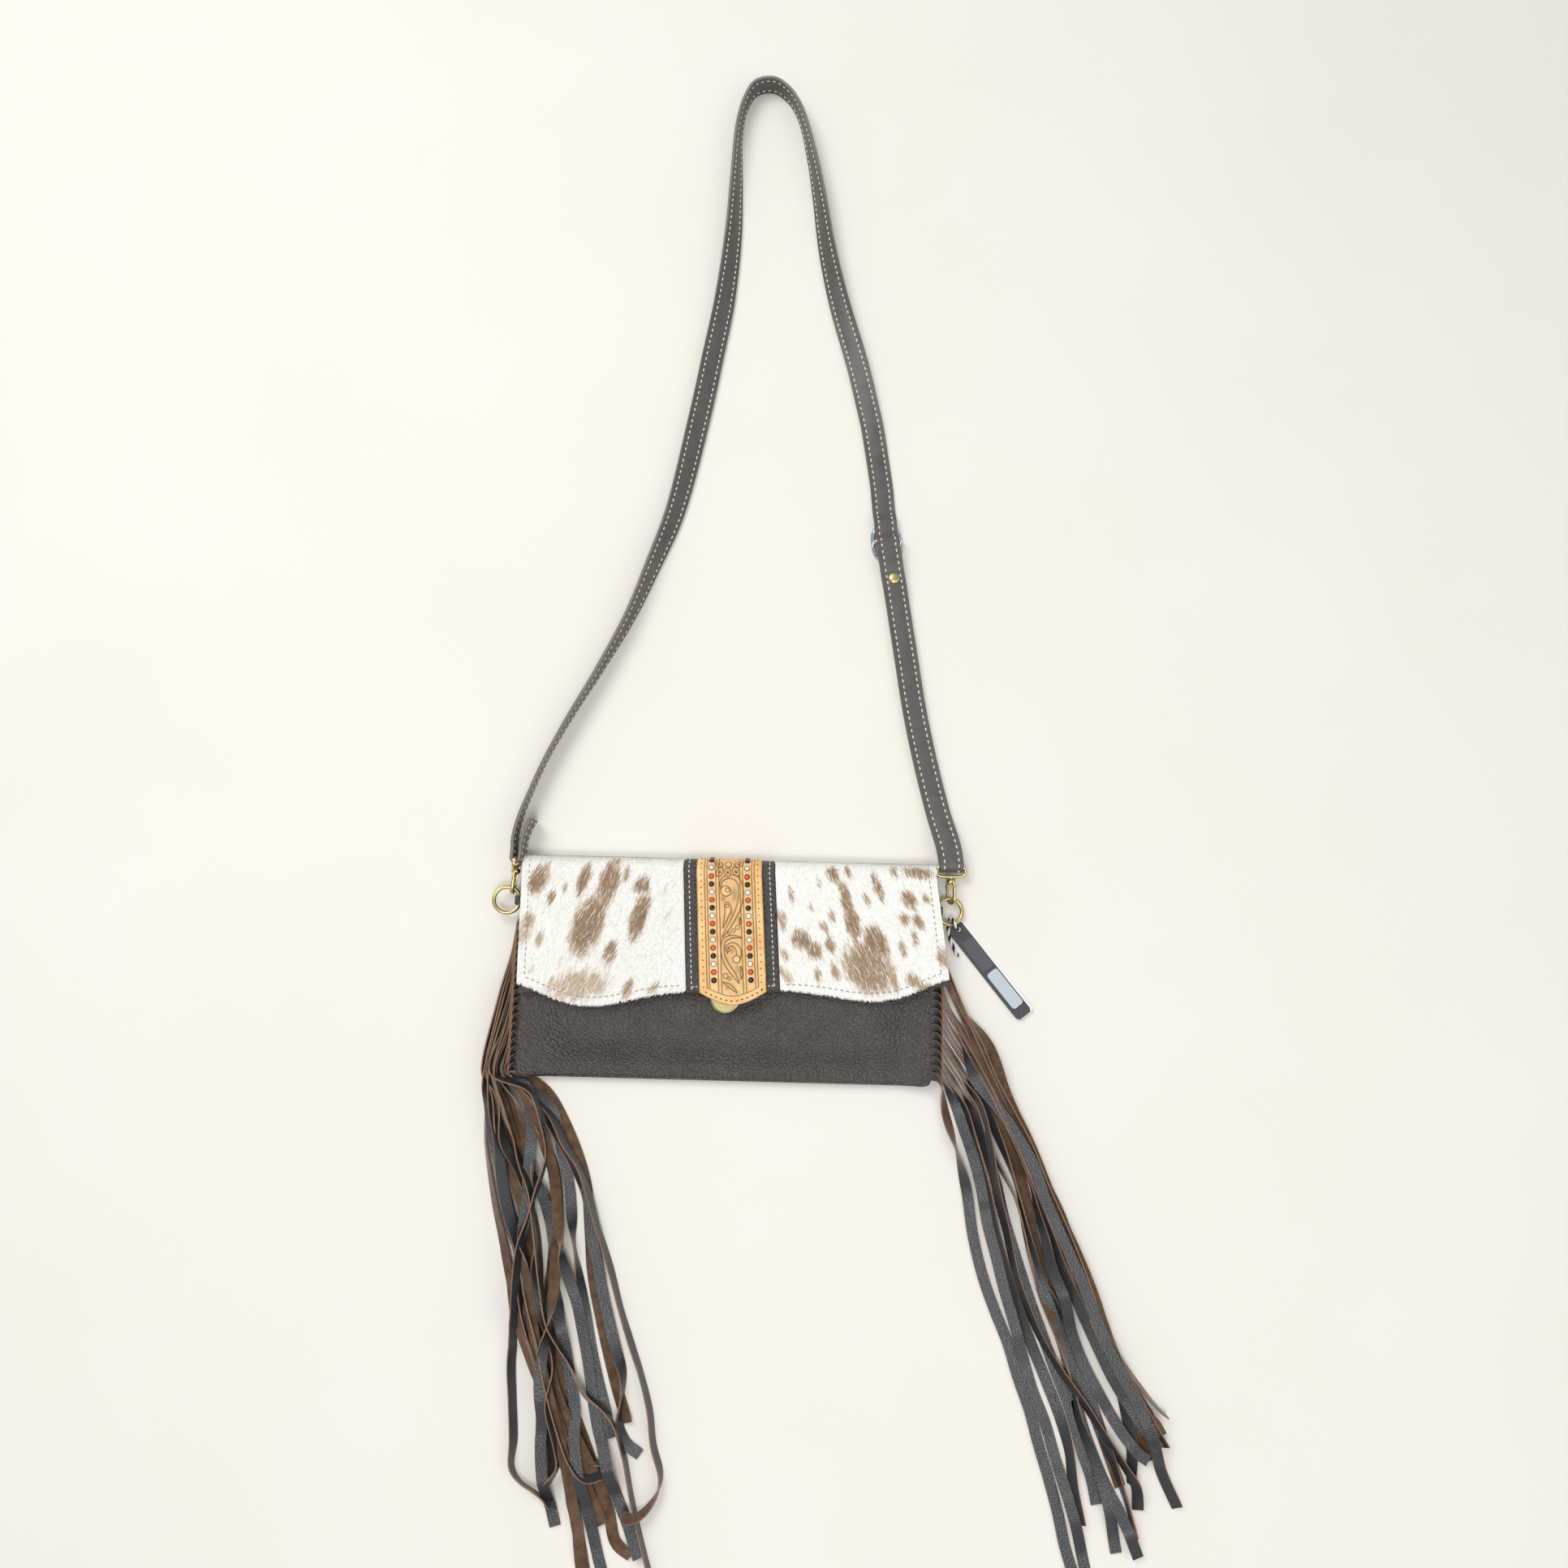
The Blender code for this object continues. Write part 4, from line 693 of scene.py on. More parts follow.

# Cowhide hair: short, straight and glossy; cream, then tan to brown in the spots, each hair
# a little lighter or darker than the next, with painted shade darkening each one towards its root.
hide_hair, tree = start_material("cow_hair")
shares = add_node(tree, "UVMap")
split = add_node(tree, "SeparateXYZ", None, None, {0: (shares, 0)})
pale = add_node(tree, "MapRange", None, {"From Min": 0.12, "From Max": 0.5}, {0: (split, "X")})
dark = add_node(tree, "MapRange", None, {"From Min": 0.5, "From Max": 1.0}, {0: (split, "X")})
first = add_node(tree, "Mix", {"data_type": "RGBA"}, {6: linear("f6f5f0"), 7: linear("c6ae92")},
                 {0: (pale, 0)})
second = add_node(tree, "Mix", {"data_type": "RGBA"}, {7: linear("8f7356")},
                  {0: (dark, 0), 6: (first, 2)})
place = add_node(tree, "TexCoord")
strand = add_node(tree, "TexNoise", None, {"Scale": 900.0, "Detail": 2.0}, {"Vector": (place, "Object")})
vary = add_node(tree, "MapRange", None, {"From Min": 0.3, "From Max": 0.7, "To Min": 0.9, "To Max": 1.08},
                {0: (strand, 0)})
# Painted shade: each lock is darker towards its root, where the locks lie over one another.
root = add_node(tree, "MapRange", None, {"From Min": 0.0, "From Max": 0.6, "To Min": 0.86, "To Max": 1.0},
                {0: (split, "Y")})
shade = add_node(tree, "Math", {"operation": "MULTIPLY"}, None, {0: (vary, 0), 1: (root, 0)})
tone = add_node(tree, "Mix", {"data_type": "RGBA", "blend_type": "MULTIPLY"}, {0: 1.0},
                {6: (second, 2), 7: (shade, 0)})
end_material(tree, {"Roughness": 0.55, "Sheen Weight": 0.2, "Sheen Roughness": 0.4,
                    "Specular IOR Level": 0.35}, {"Base Color": (tone, 2)})


def spot_strength(a, b):
    """How brown the hair is at a place on the flap, in mm, from 0 to 1."""
    side = -1 if a < 0 else 1
    drift = noise.noise(Vector((a * 0.09, b * 0.09, 7.0))) * 1.6
    rough = noise.noise(Vector((a * 0.55, b * 0.3, 1.0))) * 0.35
    best = 0.0
    for x, y, width, height, strength in hide_spots:
        if abs(b - y) > 2.2 * height or (x < 0) != (a < 0):
            continue
        along = b - y
        across = a - x - along * math.tan(-hair_lean[side]) * 0.5 + drift
        distance = math.hypot(across / width, along / height) + rough
        best = max(best, strength * ease(distance, 1.25, 0.6))
    return best


def hide_edge(a):
    return lobe_edge(a) + 1.0 * MM * ease(abs(a), band_half + 26 * MM, band_half)


def make_hide(side, name, node):
    inner = side * (band_half + 0.4 * MM)
    outer = side * flap_half
    low, high = 1.4 * MM, top_layer
    bm = flap_layer(inner, outer, low, high, 90, 80, hide_edge, 0.5 * MM)
    layer = bm.loops.layers.uv.verify()
    for face in bm.faces:
        for loop in face.loops:
            u, v = loop[layer].uv
            a = inner + (outer - inner) * u
            b = hide_edge(a) + (fold_top - hide_edge(a)) * v
            # The second value sets the hide partway along the hair's painted root shade, so it is a
            # little darker than the tips.
            loop[layer].uv = (spot_strength(a / MM, b / MM), 0.35)
    bmesh.ops.recalc_face_normals(bm, faces=bm.faces[:])
    hide = add_piece(name, bm, [hide_hair])
    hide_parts(node)
    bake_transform(hide)


def make_hair(side, name):
    """Flat tapered locks of hair that follow the hide, each lifted a little at its tip."""
    bm = bmesh.new()
    layer = bm.loops.layers.uv.new("UVMap")
    inner = band_half + 0.8 * MM
    hair_limit = flap_half + 0.3 * MM
    for number in range(hair_count):
        a = side * (inner + (flap_half - inner) * dice.random())
        edge = hide_edge(a)
        b = edge + (fold_top - 5 * MM - edge) * dice.random()
        lean = hair_lean[side] + 0.22 * (dice.random() - 0.5)
        lean += 0.35 * noise.noise(Vector((a * 25, b * 25, 5.0)))
        length = hair_length * (0.6 + 0.5 * dice.random())
        length = min(length, max((b - edge) / math.cos(lean) + 1.2 * MM * dice.random(), 2 * MM))
        spine = []
        for share in (0.0, 0.5, 1.0):
            along = b - math.cos(lean) * length * share
            beside = min(max(a + math.sin(lean) * length * share, -hair_limit), hair_limit)
            spine.append(flap_point(flap_side(beside, along), along, top_layer + 0.1 * MM))
        root, mid, tip = spine
        nearby = flap_point(flap_side(a + MM, b), b, top_layer + 0.1 * MM)
        out = (nearby - root).cross(root - mid).normalized()
        across = (mid - root).cross(out).normalized() * hair_width * (0.35 + 0.3 * dice.random())
        mid += out * length * 0.04
        tip += out * (length * 0.05 + 0.35 * MM * dice.random())
        shade = spot_strength(a / MM + dice.gauss(0, 0.5), b / MM + dice.gauss(0, 0.8))
        shade *= 0.72 + 0.4 * dice.random()
        if dice.random() < 0.1:
            shade *= 0.2
        shade = min(max(shade + dice.gauss(0, 0.07), 0.0), 1.0)
        verts = [bm.verts.new(spot) for spot in (root - across, root + across, mid + across * 0.9,
                                                 mid - across * 0.9, tip)]
        # The second UV value runs from root to tip and drives the hair's painted root shade.
        for corners, ups in (((0, 1, 2, 3), (0.0, 0.0, 0.5, 0.5)), ((3, 2, 4), (0.5, 0.5, 1.0))):
            face = bm.faces.new([verts[corner] for corner in corners])
            for loop, up in zip(face.loops, ups):
                loop[layer].uv = (shade, up)
    hair = add_piece(name, bm, [hide_hair])
    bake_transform(hair)


make_hide(-1, "hide_left", "flap_hide_left")
make_hide(1, "hide_right", "flap_hide_right")
make_hair(-1, "hide_left_hair")
make_hair(1, "hide_right_hair")


# Stitching on the flap
# Waxed thread run through each layer: grey-brown round the hide, white down the band.

stitch_gap = 3.7 * MM
stitch_length = 2.5 * MM
stitch_width = 0.55 * MM

# Bonded sewing thread: white, waxed and slightly shiny.
white_thread, tree = start_material("white_bonded_thread")
place = add_node(tree, "TexCoord")
ply = add_node(tree, "TexNoise", None, {"Scale": 1500.0}, {"Vector": (place, "Object")})
tone = add_node(tree, "Mix", {"data_type": "RGBA"}, {6: linear("c9c5bc"), 7: linear("efece4")},
                {0: (ply, 0)})
end_material(tree, {"Roughness": 0.6}, {"Base Color": (tone, 2)})

# Bonded sewing thread: grey-brown, dulled by the hair round it.
brown_thread, tree = start_material("grey_brown_bonded_thread")
place = add_node(tree, "TexCoord")
ply = add_node(tree, "TexNoise", None, {"Scale": 1500.0}, {"Vector": (place, "Object")})
tone = add_node(tree, "Mix", {"data_type": "RGBA"}, {6: linear("8a8078"), 7: linear("a39a91")},
                {0: (ply, 0)})
end_material(tree, {"Roughness": 0.75}, {"Base Color": (tone, 2)})


def add_stitch(bm, centre, along, out, length, width):
    """One stitch: a low thread that dips into the leather at both ends."""
    across = along.cross(out).normalized()
    section = [(-0.5, 0.0), (-0.3, 0.7), (0.3, 0.7), (0.5, 0.0)]
    rings = []
    for share, thick in ((-0.5, 0.35), (-0.25, 1.0), (0.25, 1.0), (0.5, 0.35)):
        sunk = (thick - 1.0) * width * 0.9
        rings.append([bm.verts.new(centre + along * length * share + across * width * thick * a
                                   + out * (width * 0.6 * b * thick + sunk)) for a, b in section])
    for here, after in zip(rings, rings[1:]):
        for corner in range(3):
            bm.faces.new((here[corner], here[corner + 1], after[corner + 1], after[corner]))


def stitch_run(bm, points, outs, gap=stitch_gap, length=stitch_length, width=stitch_width):
    """Evenly spaced stitches along a path, given its outward directions."""
    travelled, due = 0.0, gap / 2
    for here, after, out in zip(points, points[1:], outs):
        span = (after - here).length
        while due <= travelled + span and span > 0:
            share = (due - travelled) / span
            add_stitch(bm, here.lerp(after, share), (after - here).normalized(), out, length, width)
            due += gap
        travelled += span


def flap_run(bm, plan, height, **kept):
    """Stitches along (a, b) points of the flap."""
    points = [flap_point(flap_side(a, b), b, height) for a, b in plan]
    outs = []
    for (a, b), point in zip(plan, points):
        beside = flap_point(flap_side(a + MM, b), b, height) - point
        behind = flap_point(flap_side(a, b + MM), b + MM, height) - point
        outs.append(beside.cross(behind).normalized())
    stitch_run(bm, points, outs, **kept)


def line(start, end, count):
    return [(start[0] + (end[0] - start[0]) * step / count, start[1] + (end[1] - start[1]) * step / count)
            for step in range(count + 1)]


bm = bmesh.new()
for side in (-1, 1):
    inset = 4.2 * MM
    near = side * (band_half + 3.4 * MM)
    far = side * (flap_half - inset)
    hem = [(a, lobe_edge(a) + inset) for a, _ in line((near, 0), (far, 0), 60)]
    rise = top_layer + 0.55 * MM
    flap_run(bm, line((far, fold_top), (far, hem[-1][1]), 80), rise)
    flap_run(bm, hem, rise)
hide_stitches = add_piece("hide_stitches", bm, [brown_thread], None, 80)
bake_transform(hide_stitches)

bm = bmesh.new()
for side in (-1, 1):
    run = band_half - 3.2 * MM
    flap_run(bm, line((side * run, fold_top), (side * run, -11.5 * MM), 80), 3.4 * MM, gap=3.3 * MM,
             length=2.3 * MM, width=0.7 * MM)
    flap_run(bm, line((side * run, -10.0 * MM), (side * 21 * MM, -10.0 * MM), 8), 3.4 * MM,
             gap=2.2 * MM, length=1.5 * MM, width=0.7 * MM)
band_stitches = add_piece("band_stitches", bm, [white_thread], None, 80)
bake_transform(band_stitches)


# Tooled strip
# Vegetable-tanned leather, carved with a swivel knife and stamped while damp: two scrolls,
# leaves, a flower and berries between beaded borders. It is sewn down round its edge.

strip_low = 3.7 * MM
strip_high = 5.9 * MM
strip_step = 0.36 * MM
# Each raised band as its middle line and its half width at each point, in mm
scrolls = [
    ([(-5.4, 49.9), (-5.4, 53.5), (-3.6, 56.1), (-0.2, 57.4), (3.7, 56.8), (6.3, 53.8), (6.9, 49.1),
      (6.8, 44.4), (5.6, 39.3), (3.4, 34.1), (0.4, 28.6), (-2.6, 24.0), (-5.2, 20.1)],
     [0.5, 0.7, 1.0, 1.2, 1.4, 1.5, 1.6, 1.6, 1.5, 1.4, 1.2, 0.9, 0.3]),
    ([(6.1, 19.6), (2.3, 20.1), (-1.6, 19.5), (-4.4, 17.6), (-5.4, 13.6), (-5.2, 8.9), (-3.7, 4.5),
      (-1.4, 0.6), (1.3, -3.4), (3.9, -7.7)],
     [0.3, 0.8, 1.1, 1.2, 1.1, 1.1, 1.3, 1.4, 1.2, 0.4]),
    ([(-2.6, 10.2), (-2.6, 13.6), (-0.1, 15.4), (2.8, 14.4), (4.4, 11.6), (4.3, 7.9)],
     [0.4, 0.8, 1.1, 1.4, 1.6, 1.5]),
    ([(-1.8, 39.8), (-1.4, 36.9), (-2.1, 33.7), (-3.4, 29.4), (-4.7, 25.6)],
     [1.7, 2.0, 1.5, 0.9, 0.3]),
    ([(5.6, 31.8), (5.8, 29.4), (5.6, 27.6)], [0.2, 0.6, 0.2]),
    ([(-5.4, -7.6), (-1.6, -9.8), (2.4, -13.6)], [0.4, 1.1, 0.4]),
    ([(5.4, 1.8), (5.6, -2.0), (5.4, -5.6)], [0.3, 0.8, 0.3]),
]
# Middle, half length, half width and turn of each petal, in mm and radians
petals = [(-6.0, 60.0, 2.9, 1.9, 0.9), (-0.8, 59.9, 2.6, 1.9, 1.57), (4.4, 60.4, 2.8, 1.9, -0.9),
          (-6.6, 64.6, 2.6, 1.7, -0.3), (6.0, 64.8, 2.6, 1.7, 0.3)]
# Middle and radius of each raised round, each ring cut with a stamp and each shaded ground
berries = [(-2.4, 48.3, 3.2), (2.9, 6.3, 2.3), (-0.6, 64.6, 1.9), (-2.0, 12.0, 0.9)]
stamp_rings = [(-1.3, 49.0, 1.3), (4.2, 25.8, 1.3), (1.5, 23.9, 1.15), (-1.2, 22.3, 0.85),
               (-4.1, -3.7, 1.5), (-1.7, -5.3, 1.0), (-1.9, 39.0, 1.0)]
stamp_grounds = [(2.9, 46.4, 2.2, 5.4), (3.2, 0.6, 1.8, 3.2), (0.2, 11.6, 1.6, 2.4),
                 (-4.0, 43.6, 1.8, 2.4), (0.8, 35.2, 1.2, 3.6), (-3.2, -10.9, 1.7, 1.1)]
groove_lines = [-15.5, -13.9, -8.5, -6.6, 6.6, 8.4, 14.0, 15.7]

# Vegetable-tanned leather: honey tan and burnished, dark brown stain left in the cuts and
# in the stamped ground, with a soft wax shine on the raised parts.
tooled_leather, tree = start_material("carved_veg_tan_leather")
place = add_node(tree, "TexCoord")
stain = add_node(tree, "Attribute", {"attribute_name": "stain"})
patchy = add_node(tree, "TexNoise", None, {"Scale": 90.0, "Detail": 5.0, "Roughness": 0.6},
                  {"Vector": (place, "Object")})
spread = add_node(tree, "MapRange", None, {"From Min": 0.3, "From Max": 0.7}, {0: (patchy, 0)})
honey = add_node(tree, "Mix", {"data_type": "RGBA"}, {6: linear("e2ad66"), 7: linear("f4cf96")},
                 {0: (spread, 0)})
stained = add_node(tree, "Mix", {"data_type": "RGBA"}, {7: linear("5c371d")},
                   {0: (stain, "Fac"), 6: (honey, 2)})
pores = add_node(tree, "TexNoise", None, {"Scale": 1800.0, "Detail": 3.0}, {"Vector": (place, "Object")})
fine = add_node(tree, "Bump", None, {"Strength": 0.25, "Distance": 0.1 * MM}, {"Height": (pores, 0)})
wax = add_node(tree, "MapRange", None, {"To Min": 0.42, "To Max": 0.7}, {0: (stain, "Fac")})
end_material(tree, {"Specular IOR Level": 0.5},
             {"Base Color": (stained, 2), "Roughness": (wax, 0), "Normal": (fine, 0)})


def near_path(a, b, path, widths):
    """Each point's distance from a path, less the path's own half width there."""
    fine_path = resample([(x, y, 0.0, width) for (x, y), width in zip(path, widths)], 0.5)
    spots = np.stack([a, b], axis=1)
    gaps = np.linalg.norm(spots[:, None, :] - fine_path[None, :, :2], axis=2) - fine_path[None, :, 3]
    return gaps.min(axis=1)


def stamped(gap, depth=0.4, cut=0.34):
    """Height and stain of a raised form with a knife cut round it, from its signed distance."""
    inside = 1.0 / (1.0 + np.exp(np.clip(gap * 8.0, -30, 30)))
    knife = np.exp(-(gap / cut) ** 2)
    return inside, depth * inside - 0.4 * knife, knife


def carve(a, b):
    """Height in mm and stain from 0 to 1 at points of the strip, given in mm."""
    share = np.minimum(np.abs(a) * MM / strip_half, 1.0)
    foot = b - (strip_tip + strip_rise * share ** 1.6) / MM
    ground = 1.0 / (1.0 + np.exp(-np.clip(np.minimum(6.6 - np.abs(a), foot - 6.0) * 5.0, -30, 30)))
    speckle = np.sin(a * 7.0 + 1.3 * np.sin(b * 3.1)) * np.sin(b * 6.3 + 1.1 * np.sin(a * 2.7))
    height = -0.25 * ground
    stain_here = 0.03 + 0.12 * ground
    for x, y, half_wide, half_high in stamp_grounds:
        shade = np.exp(-np.hypot((a - x) / half_wide, (b - y) / half_high) ** 4) * ground
        stain_here = np.maximum(stain_here, shade * (0.5 + 0.3 * speckle))
        height -= 0.2 * shade * (1.0 + 0.5 * speckle)
    for path, widths in scrolls:
        inside, lift, knife = stamped(near_path(a, b, path, widths))
        height = height * (1 - inside) + lift
        vein = near_path(a, b, path, [0.45 * width for width in widths])
        line_in = np.exp(-(vein / 0.24) ** 2) * inside
        stain_here = np.maximum(stain_here * (1 - inside) + 0.45 * line_in, knife)
    for x, y, long_half, short_half, turn in petals:
        u = (a - x) * math.cos(turn) + (b - y) * math.sin(turn)
        v = (b - y) * math.cos(turn) - (a - x) * math.sin(turn)
        reach = np.hypot(u / long_half, v / short_half)
        inside, lift, knife = stamped((reach - 1.0) * short_half)
        heart = np.exp(-(reach / 0.5) ** 4)
        height = height * (1 - inside) + lift - 0.3 * heart
        stain_here = np.maximum(stain_here * (1 - inside) + 0.95 * heart, knife)
    for x, y, radius in berries:
        inside, lift, knife = stamped(np.hypot(a - x, b - y) - radius)
        height = height * (1 - inside) + lift
        stain_here = np.maximum(stain_here * (1 - inside), knife)
    for x, y, radius in stamp_rings:
        cut = np.exp(-((np.hypot(a - x, b - y) - radius) / 0.32) ** 2)
        height -= 0.35 * cut
        stain_here = np.maximum(stain_here, cut)
    for line_a in groove_lines:
        knife = np.exp(-((a - line_a) / 0.3) ** 2) / (1.0 + np.exp(-(foot - 5.5) * 3.0))
        height -= 0.45 * knife
        stain_here = np.maximum(stain_here, knife)
    low_line = np.exp(-((foot - 5.6) / 0.28) ** 2) * (np.abs(a) < 16.0)
    height -= 0.4 * low_line
    stain_here = np.maximum(stain_here, 0.9 * low_line)
    rim = np.minimum(strip_half / MM - np.abs(a), foot)
    stain_here = np.maximum(stain_here, 0.7 * np.exp(-(rim / 0.45) ** 2))
    height -= 0.5 * np.exp(-(rim / 0.55) ** 2)
    return height, np.clip(stain_here, 0.0, 1.0)


strip_top = fold_top - 6.0 * MM
strip_columns = round(2 * strip_half / strip_step)
strip_rows = round((strip_top + 17 * MM) / strip_step)
bm = bmesh.new()
stain_layer = bm.verts.layers.float.new("stain")
bmesh.ops.create_grid(bm, x_segments=strip_columns, y_segments=strip_rows, size=0.5)
made = bmesh.ops.extrude_face_region(bm, geom=bm.faces[:])
upper = {item for item in made["geom"] if isinstance(item, bmesh.types.BMVert)}
verts = bm.verts[:]
across = np.array([vert.co.x for vert in verts]) * 2 * strip_half
edges = np.array([strip_edge(a) for a in across])
down = edges + (strip_top - edges) * (np.array([vert.co.y for vert in verts]) + 0.5)
heights, stains = carve(across / MM, down / MM)
for vert, a, b, height, mark in zip(verts, across, down, heights, stains):
    sole = strip_low - 2.4 * MM * ease(b, lobe_edge(0.0) - 0.5 * MM, lobe_edge(0.0) - 2.5 * MM)
    level = strip_high + height * MM if vert in upper else sole
    vert.co = flap_point(a, b, level)
    vert[stain_layer] = mark
bmesh.ops.recalc_face_normals(bm, faces=bm.faces[:])
strip = add_piece("tooled_strip_leather", bm, [tooled_leather], None, 60)
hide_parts("tooled_strip")
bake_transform(strip)

# Waxed linen thread: dark brown, pulled deep into the holes along the strip's margin.
linen_thread, tree = start_material("brown_waxed_linen")
place = add_node(tree, "TexCoord")
ply = add_node(tree, "TexNoise", None, {"Scale": 1500.0}, {"Vector": (place, "Object")})
tone = add_node(tree, "Mix", {"data_type": "RGBA"}, {6: linear("38220f"), 7: linear("5a3a1e")},
                {0: (ply, 0)})
end_material(tree, {"Roughness": 0.7}, {"Base Color": (tone, 2)})
bm = bmesh.new()
margin = strip_half - 2.8 * MM
foot = [(a, strip_edge(a) + 2.6 * MM) for a, _ in line((-margin, 0), (margin, 0), 40)]
for a in (-margin, margin):
    flap_run(bm, line((a, strip_top), (a, foot[0][1]), 90), strip_high, gap=4.1 * MM,
             length=1.1 * MM, width=0.75 * MM)
flap_run(bm, foot, strip_high, gap=3.3 * MM, length=1.9 * MM, width=0.7 * MM)
strip_stitches = add_piece("strip_stitches", bm, [linen_thread], None, 80)
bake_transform(strip_stitches)


# Stones
# Two rows of small pressed-glass domes in dark metal cups, riveted through the strip:
# black, red and white in turn from the bottom.

stone_radius = 1.85 * MM
stone_pitch = 4.9 * MM
stone_first = -6.3 * MM
stone_rows = 11.2 * MM

# Pressed glass: glossy, opaque and strongly coloured.
stone_finishes = []
for name, dark_code, light_code in (("black_glass", "0c0c0e", "1c1c20"),
                                    ("coral_red_glass", "c23a26", "e5604a"),
                                    ("milk_white_glass", "d9d6cf", "f2f0ea")):
    glass, tree = start_material(name)
    place = add_node(tree, "TexCoord")
    swirl = add_node(tree, "TexNoise", None, {"Scale": 500.0, "Detail": 2.0},
                     {"Vector": (place, "Object")})
    tone = add_node(tree, "Mix", {"data_type": "RGBA"}, {6: linear(dark_code), 7: linear(light_code)},
                    {0: (swirl, 0)})
    end_material(tree, {"Roughness": 0.12, "IOR": 1.52, "Coat Weight": 0.3},
                 {"Base Color": (tone, 2)})
    stone_finishes.append(glass)

# Blackened steel: the cups' thin rims, dark with a dull shine.
cup_metal, tree = start_material("blackened_steel")
place = add_node(tree, "TexCoord")
patina = add_node(tree, "TexNoise", None, {"Scale": 800.0, "Detail": 3.0}, {"Vector": (place, "Object")})
tone = add_node(tree, "Mix", {"data_type": "RGBA"}, {6: linear("2a2724"), 7: linear("5a5148")},
                {0: (patina, 0)})
end_material(tree, {"Metallic": 1.0, "Roughness": 0.4}, {"Base Color": (tone, 2)})


def turned(profile, steps):
    """A shape turned about Z from (radius, height) points."""
    bm = bmesh.new()
    verts = [bm.verts.new((radius, 0.0, height)) for radius, height in profile]
    for here, after in zip(verts, verts[1:]):
        bm.edges.new((here, after))
    bmesh.ops.spin(bm, geom=bm.verts[:] + bm.edges[:], axis=UP, angle=2 * math.pi, steps=steps,
                   use_merge=True)
    bmesh.ops.remove_doubles(bm, verts=bm.verts, dist=0.001 * MM)
    bmesh.ops.recalc_face_normals(bm, faces=bm.faces[:])
    return bm


def append(target, source):
    """Add one bmesh to another, and free it."""
    mesh = bpy.data.meshes.new("shell")
    source.to_mesh(mesh)
    source.free()
    target.from_mesh(mesh)
    bpy.data.meshes.remove(mesh)


domes = [bmesh.new() for _ in stone_finishes]
cups = bmesh.new()
for side in (-1, 1):
    number = 0
    b = stone_first
    while b < strip_top - stone_radius:
        seat = flap_point(side * stone_rows, b, strip_high - 0.25 * MM)
        behind = flap_point(side * stone_rows, b + 0.5 * MM, strip_high - 0.25 * MM) - seat
        tilt = Matrix.Rotation(math.atan2(behind.z, behind.y), 3, "X")
        dome = turned([(0.0, 0.9 * MM), (0.6 * MM, 0.84 * MM), (1.15 * MM, 0.62 * MM),
                       (1.5 * MM, 0.3 * MM), (1.58 * MM, 0.0)], 12)
        cup = turned([(1.5 * MM, 0.1 * MM), (1.58 * MM, 0.38 * MM), (1.78 * MM, 0.38 * MM),
                      (1.92 * MM, 0.15 * MM), (1.92 * MM, -0.3 * MM)], 12)
        for shape in (dome, cup):
            bmesh.ops.rotate(shape, verts=shape.verts, matrix=tilt)
            bmesh.ops.translate(shape, verts=shape.verts, vec=seat)
        append(domes[number % 3], dome)
        append(cups, cup)
        number += 1
        b += stone_pitch
for name, bm, glass in zip(("black_stones", "red_stones", "white_stones"), domes, stone_finishes):
    stones = add_piece(name, bm, [glass])
    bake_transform(stones)
rims = add_piece("stone_cups", cups, [cup_metal])
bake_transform(rims)


# Fringe
# Nineteen strips cut from one piece of split leather each side, grain on one face and suede
# on the other, sewn into the side seam. They run down on edge, then cross and twist in a heap.

strip_count = 19
strip_pitch = 5 * MM
root_width = 4.6 * MM
strip_width = 6.6 * MM
strip_thick = 0.9 * MM
first_root = -62 * MM
root_height = 6.35 * MM
# Reach from the body's edge and fall in mm, and roll in degrees, as a strip leaves the seam
leaving = {
    -1: [(0.2, 0.0, 8), (1.2, 0.0, 20), (2.4, -0.3, 42), (3.4, -1.0, 64), (4.2, -2.4, 82),
         (4.8, -4.8, 92)],
    1: [(0.2, 0.0, 6), (1.8, 0.0, 16), (3.6, -0.5, 34), (5.2, -1.6, 54), (6.4, -3.4, 74),
        (7.3, -5.8, 90)],
}
waist_pitch = 0.80
waist_y = -65.6
heap_base = 5.0 * MM
heap_step = 0.4 * MM
